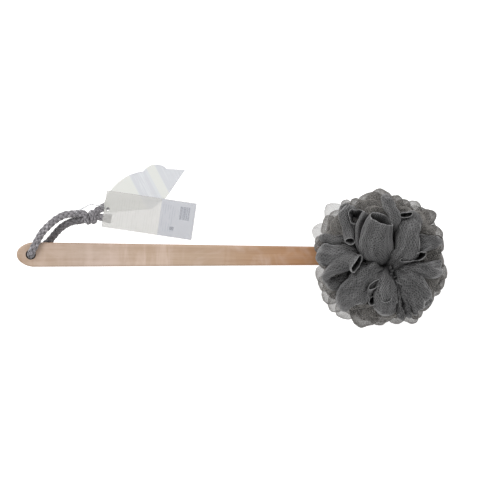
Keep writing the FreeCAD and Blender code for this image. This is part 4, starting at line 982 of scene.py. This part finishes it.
def hang_cord():
    """Both legs, the knot they share and two cut tails, as one braided run of cord. Points are mm from the hang
    hole's axis."""
    pile = Pile()
    turns = np.linspace(np.radians(118), np.radians(118 + 395), 26)
    wrap = [K + [x, 4.45 * math.cos(a), 3.9 * math.sin(a)] for a, x in zip(turns, np.linspace(-3.6, 3.2, 26))]
    core = [K + [-4.5, -1.4, 0.6], K + [-1.5, -0.5, 0.2], K + [1.8, 0.3, -0.2], K + [4.0, -0.6, -0.4]]
    leg_u = [(50.6, 38.7, 1.9), (44.0, 39.1, 1.7)] + U_LEG
    leg_l = L_LEG + [(45.0, 32.4, -2.1), (49.6, 33.2, -1.2)]
    tail_a = [(61.0, 40.4, 0.8), (65.2, 43.4, -0.3), (69.2, 45.7, -0.6), (72.6, 47.3, -0.8)]
    tail_b = [(62.4, 36.2, -0.4), (66.8, 35.5, -0.5), (71.0, 34.9, -0.8), (74.6, 34.3, -1.0)]
    path = np.array(tail_a[::-1] + [tuple(p) for p in wrap[::-1]] + leg_u + HOLE + leg_l + [tuple(p) for p in core] + tail_b, float)
    C = spline(path, 900)
    step = np.linalg.norm(np.diff(C, axis=0), axis=1)
    s = np.concatenate([[0], np.cumsum(step)])
    end = np.minimum(s, s[-1] - s)
    d = np.linalg.norm(C - K, axis=1)
    R = np.where((d < 7.0) & (end > 11.5), 2.7, 3.5)
    inside = (np.hypot(C[:, 0], C[:, 1]) < 2.0) & (np.abs(C[:, 2] + 1.5) < 5.0)
    R = np.where(inside, 4.0, R)
    kernel = np.ones(31) / 31
    R = np.convolve(np.pad(R, 15, mode="edge"), kernel, "valid")
    R = np.maximum(R, np.interp(end, [0.0, 8.3, 14.0], [4.4, 3.4, 0.0]))
    # the cord sinks into shade inside the hole; its lower leg lies in the upper one's shadow
    top = int(np.argmin(np.abs(C[:, 2] - 3.4) + 50 * (np.hypot(C[:, 0], C[:, 1]) > 4)))
    low = np.arange(len(C)) > top
    tone = np.where(low & (C[:, 2] > -6.6) & (np.hypot(C[:, 0], C[:, 1]) < 5), 0.12, np.where(low & (d > 8) & (end > 14), 0.58, 1.0))
    tone = np.convolve(np.pad(tone, 15, mode="edge"), kernel, "valid")
    C = C + [HANG[0], HANG[1], TIE[2]]
    braid(pile, C, R, tone, seed=5)
    # cut ends: a brush of short yarn ends
    rng = np.random.default_rng(77)
    for end, prev in ((C[0], C[6]), (C[-1], C[-7])):
        t = unit(end - prev)
        T, A, B = frames_along(np.array([end, end + t]), (0, 0, 1))
        for i in range(150):
            r, a = 4.1 * math.sqrt(rng.uniform()), rng.uniform(0, 6.28)
            p = end + A[0] * r * math.cos(a) + B[0] * r * math.sin(a)
            q = p + t * rng.uniform(0.2, 1.2) + (A[0] * math.cos(a) + B[0] * math.sin(a)) * rng.uniform(-0.1, 0.3)
            tube(pile, np.array([p - t * 1.6, p, q]), 0.26, sides=4, value=rng.uniform(0.5, 1.0))
    ob = pile.build("hang_cord_braid", CORD_MAT)
    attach(ob, "cord")
    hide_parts("hang_cord")
    return ob


hang_cord()

# ------------------------------------------------------------------------------------------------ clear loop and tags
k = Mat("clear_filament")
b = k.n("ShaderNodeBsdfGlossy")
b.inputs["Roughness"].default_value = 0.12
b.inputs[0].default_value = (0.9, 0.9, 0.9, 1)
t = k.n("ShaderNodeBsdfTransparent")
t.inputs[0].default_value = (0.80, 0.81, 0.82, 1)
lw = k.n("ShaderNodeLayerWeight")
lw.inputs[0].default_value = 0.45
m = k.n("ShaderNodeMixShader")
k.put(m.inputs[0], k.maprange(lw.outputs["Facing"], 0.1, 0.95, 0.12, 0.85))
k.put(m.inputs[1], t), k.put(m.inputs[2], b)
k.put(k.out.inputs[0], m)
dress("tag_loop", k.m)


def tag_material(name, joint, turn, build):
    """Frosted see-through sheet with print. build(k, x, y) gives (colour, how solid) from tag millimetres."""
    k = Mat(name)
    pin = np.array(JOINT[joint]["pos_m"])
    obj = k.n("ShaderNodeTexCoord").outputs["Object"]
    mp = k.n("ShaderNodeMapping", vector_type="TEXTURE")
    k.put(mp.inputs[0], obj)
    mp.inputs["Location"].default_value = tuple(pin)
    mp.inputs["Rotation"].default_value = (0, 0, math.radians(turn))
    mp.inputs["Scale"].default_value = (MM, MM, MM)
    sep = k.n("ShaderNodeSeparateXYZ")
    k.put(sep.inputs[0], mp.outputs[0])
    col, solid = build(k, sep.outputs[0], sep.outputs[1], mp.outputs[0])
    grain = k.noise(obj, 1500.0, 2.0, 0.6)
    cloud = k.noise(obj, 35.0, 2.0, 0.5)
    col = k.mix(k.maprange(cloud, 0.3, 0.7, 0.0, 0.10), col, (0.5, 0.5, 0.5, 1))
    d = k.n("ShaderNodeBsdfPrincipled")
    k.put(d.inputs["Base Color"], col)
    k.put(d.inputs["Roughness"], k.maprange(grain, 0.3, 0.7, 0.38, 0.55))
    d.inputs["Specular IOR Level"].default_value = 0.4
    tl = k.n("ShaderNodeBsdfTranslucent")
    k.put(tl.inputs[0], col)
    m0 = k.n("ShaderNodeMixShader")
    m0.inputs[0].default_value = 0.08
    k.put(m0.inputs[1], d), k.put(m0.inputs[2], tl)
    hole = k.n("ShaderNodeBsdfTransparent")
    hole.inputs[0].default_value = (0.97, 0.97, 0.97, 1)
    # frosted sheet: light that only passes through it is scattered, hardly blocked
    path = k.n("ShaderNodeLightPath")
    passing = k.math("MAXIMUM", path.outputs["Is Shadow Ray"], path.outputs["Is Diffuse Ray"])
    m1 = k.n("ShaderNodeMixShader")
    k.put(m1.inputs[0], k.math("MULTIPLY", solid, k.math("SUBTRACT", 1.0, passing)))
    k.put(m1.inputs[1], hole), k.put(m1.inputs[2], m0)
    k.put(k.out.inputs[0], m1)
    return k.m


def band(k, v, a, b, soft=0.12):
    """1 where a < v < b."""
    return k.math("MULTIPLY", k.maprange(v, a - soft, a + soft, 0.0, 1.0), k.maprange(v, b - soft, b + soft, 1.0, 0.0))


def card_print(k, x, y, vec):
    L0, L1, W = -3.6, 82.4, 17.5
    panel = band(k, x, 49.5, L1 + 5)
    c = k.mix(panel, srgb(184, 183, 179), srgb(167, 169, 176))
    # generic print: soft ruled rows, a block of upright bars and a small square, none of them characters
    row = k.math("PINGPONG", x, 1.15)
    broken = k.noise(k.scaled(vec, (0.43, 0.11, 0.0)), 1.0, 1.0)
    rows = k.math("MULTIPLY", k.maprange(row, 0.45, 0.95, 0.0, 1.0), k.maprange(broken, 0.42, 0.50, 0.0, 1.0))
    left = k.math("MULTIPLY", rows, k.math("MULTIPLY", band(k, x, 8.0, 30.0), band(k, y, -15.0, 12.0)))
    right = k.math("MULTIPLY", rows, k.math("MULTIPLY", band(k, x, 34.0, 47.5), band(k, y, -15.5, 6.0)))
    c = k.mix(k.math("MULTIPLY", k.math("MAXIMUM", left, right), 0.22), c, srgb(152, 152, 148))
    column = k.math("MULTIPLY", rows, k.math("MULTIPLY", band(k, x, 51.5, 63.5), band(k, y, -13.0, 12.5)))
    c = k.mix(k.math("MULTIPLY", column, 0.42), c, srgb(130, 136, 150))
    pick = k.noise(k.scaled(vec, (1.35, 0.0, 0.0)), 1.0, 1.0)
    bars = k.maprange(pick, 0.47, 0.50, 0.0, 1.0)
    block = k.math("MULTIPLY", k.math("MULTIPLY", band(k, x, 67.5, 77.0), band(k, y, 0.0, 12.5)), k.math("MAXIMUM", bars, 0.35))
    c = k.mix(k.math("MULTIPLY", block, 0.85), c, srgb(104, 110, 124))
    square = k.math("MULTIPLY", band(k, x, 60.0, 64.0), band(k, y, -11.0, -7.6))
    c = k.mix(k.math("MULTIPLY", square, 0.85), c, srgb(98, 104, 118))
    rim = k.math("MAXIMUM", k.math("MAXIMUM", band(k, k.math("ABSOLUTE", y), W - 0.45, W + 1), band(k, x, L1 - 0.45, L1 + 1)), band(k, x, L0 - 1, L0 + 0.45))
    c = k.mix(k.math("MULTIPLY", rim, 0.55), c, srgb(156, 156, 154))
    solid = k.maprange(panel, 0.0, 1.0, 0.42, 0.56)
    return c, solid


def arch_print(k, x, y, vec):
    # slanted bands across the sheet, counted along u
    u = k.math("ADD", k.math("MULTIPLY", x, 0.88), k.math("MULTIPLY", y, 0.47))
    cream, blue, pale = srgb(203, 204, 199), srgb(188, 190, 195), srgb(194, 197, 201)
    streaks = k.noise(k.scaled(k.scaled(vec, (1, 1, 1), rot=(0, 0, -0.49)), (0.75, 0.05, 0.0)), 1.0, 1.0, 0.5)
    c = k.mix(band(k, u, 33.0, 47.5), cream, blue)
    c = k.mix(k.math("MULTIPLY", band(k, u, 36.0, 45.0), k.maprange(streaks, 0.45, 0.6, 0.0, 0.6)), c, srgb(205, 207, 210))
    c = k.mix(band(k, u, 47.5, 50.0), c, pale)
    c = k.mix(band(k, u, 58.5, 90.0), c, blue)
    c = k.mix(k.math("MULTIPLY", band(k, u, 62.0, 78.0), k.maprange(streaks, 0.50, 0.62, 0.0, 0.45)), c, srgb(204, 206, 210))
    c = k.mix(k.math("MULTIPLY", band(k, u, 32.4, 33.0), 0.5), c, srgb(184, 190, 202))
    c = k.mix(k.math("MULTIPLY", band(k, u, 58.0, 58.6), 0.5), c, srgb(184, 190, 202))
    solid = k.maprange(u, 0.0, 10.0, 0.64, 0.64)
    return c, solid


dress("card_tag", tag_material("frosted_card", "card_tag_swing", -8.2, card_print))
dress("arched_tag", tag_material("banded_card", "arched_tag_swing", 0.0, arch_print))

# ------------------------------------------------------------------------------------------------ binding cord
BIND_MAT = cord_material("binding_twine", srgb(84, 82, 81), srgb(120, 118, 116), srgb(48, 46, 45))
dress("binding_cord", BIND_MAT)

# ------------------------------------------------------------------------------------------------ floor, light, camera
lo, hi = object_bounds()
TURN = math.radians(0.28)      # how far the eye is turned about its line of sight
CX = HANG[0] * MM + 0.1982 * math.cos(TURN) - 0.0138 * math.sin(TURN)
CY = HANG[1] * MM + 0.1982 * math.sin(TURN) + 0.0138 * math.cos(TURN)
FLOOR = min(lo.z, 0.0) - 0.0005

k = Mat("pale_floor")
geo = k.n("ShaderNodeNewGeometry")
cl = k.noise(geo.outputs["Position"], 6.0, 3.0)
sp = k.noise(geo.outputs["Position"], 900.0, 2.0)
c = k.mix(k.maprange(cl, 0.3, 0.7, 0.0, 1.0), (0.90, 0.90, 0.90, 1), (0.92, 0.92, 0.915, 1))
c = k.mix(k.maprange(sp, 0.4, 0.8, 0.0, 0.06), c, (0.8, 0.8, 0.8, 1))
d = k.n("ShaderNodeBsdfPrincipled")
k.put(d.inputs["Base Color"], c)
d.inputs["Roughness"].default_value = 0.85
d.inputs["Specular IOR Level"].default_value = 0.1
d.inputs["Emission Color"].default_value = (1, 1, 1, 1)
# the floor glows a little to the open eye; seen through a sheet or through netting it does not
through = k.n("ShaderNodeLightPath").outputs["Transparent Depth"]
k.put(d.inputs["Emission Strength"], k.maprange(through, 0.0, 1.0, 0.42, 0.02))
under = k.n("ShaderNodeMixShader")      # clear when looked at from below, so the back can be seen
k.put(under.inputs[0], geo.outputs["Backfacing"])
k.put(under.inputs[1], d), k.put(under.inputs[2], k.n("ShaderNodeBsdfTransparent"))
k.put(k.out.inputs[0], under)
me = bpy.data.meshes.new("floor")
s_ = 6.0
me.from_pydata([(-s_, -s_, FLOOR), (s_, -s_, FLOOR), (s_, s_, FLOOR), (-s_, s_, FLOOR)], [], [(0, 1, 2, 3)])
floor = bpy.data.objects.new("floor", me)
bpy.context.scene.collection.objects.link(floor)
me.materials.append(k.m)
floor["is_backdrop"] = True

world = bpy.data.worlds.new("studio")
bpy.context.scene.world = world
world.use_nodes = True
wt = world.node_tree
wt.nodes["Background"].inputs[0].default_value = (1.0, 1.0, 1.0, 1)
wt.nodes["Background"].inputs[1].default_value = 0.85


def area(name, loc, target, size, power, colour=(1, 1, 1)):
    light = bpy.data.lights.new(name, "AREA")
    light.shape = "RECTANGLE"
    light.size, light.size_y = size
    light.energy = power
    light.color = colour
    o = bpy.data.objects.new(name, light)
    bpy.context.scene.collection.objects.link(o)
    o.location = loc
    o.rotation_mode = "QUATERNION"
    o.rotation_quaternion = (Vector(target) - Vector(loc)).to_track_quat("-Z", "Y")
    o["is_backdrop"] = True
    return o


area("key", (CX - 0.9, CY + 0.9, 1.3), (CX, CY, 0), (0.8, 0.8), 15.0)
area("fill", (CX + 1.1, CY - 0.5, 1.2), (CX, CY, 0), (1.2, 1.2), 4.0)

sc = bpy.context.scene
sc.view_settings.view_transform = "Standard"
sc.view_settings.look = "None"
sc.view_settings.exposure = 0.0
sc.view_settings.gamma = 1.0
sc.cycles.transparent_max_bounces = 96
sc.cycles.max_bounces = 8
sc.cycles.diffuse_bounces = 4
sc.cycles.transmission_bounces = 6
sc.cycles.use_denoising = True

cam = bpy.data.objects.new("camera", bpy.data.cameras.new("camera"))
sc.collection.objects.link(cam)
cam.data.lens, cam.data.sensor_width = 100.0, 36.0
DIST = 0.228 * 100.0 / 18.0
cam.location = (CX, CY, TIE[2] * MM + DIST)
cam.rotation_euler = (0, 0, TURN)
cam.data.clip_start, cam.data.clip_end = 0.05, 30.0
sc.camera = cam

lo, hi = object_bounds()
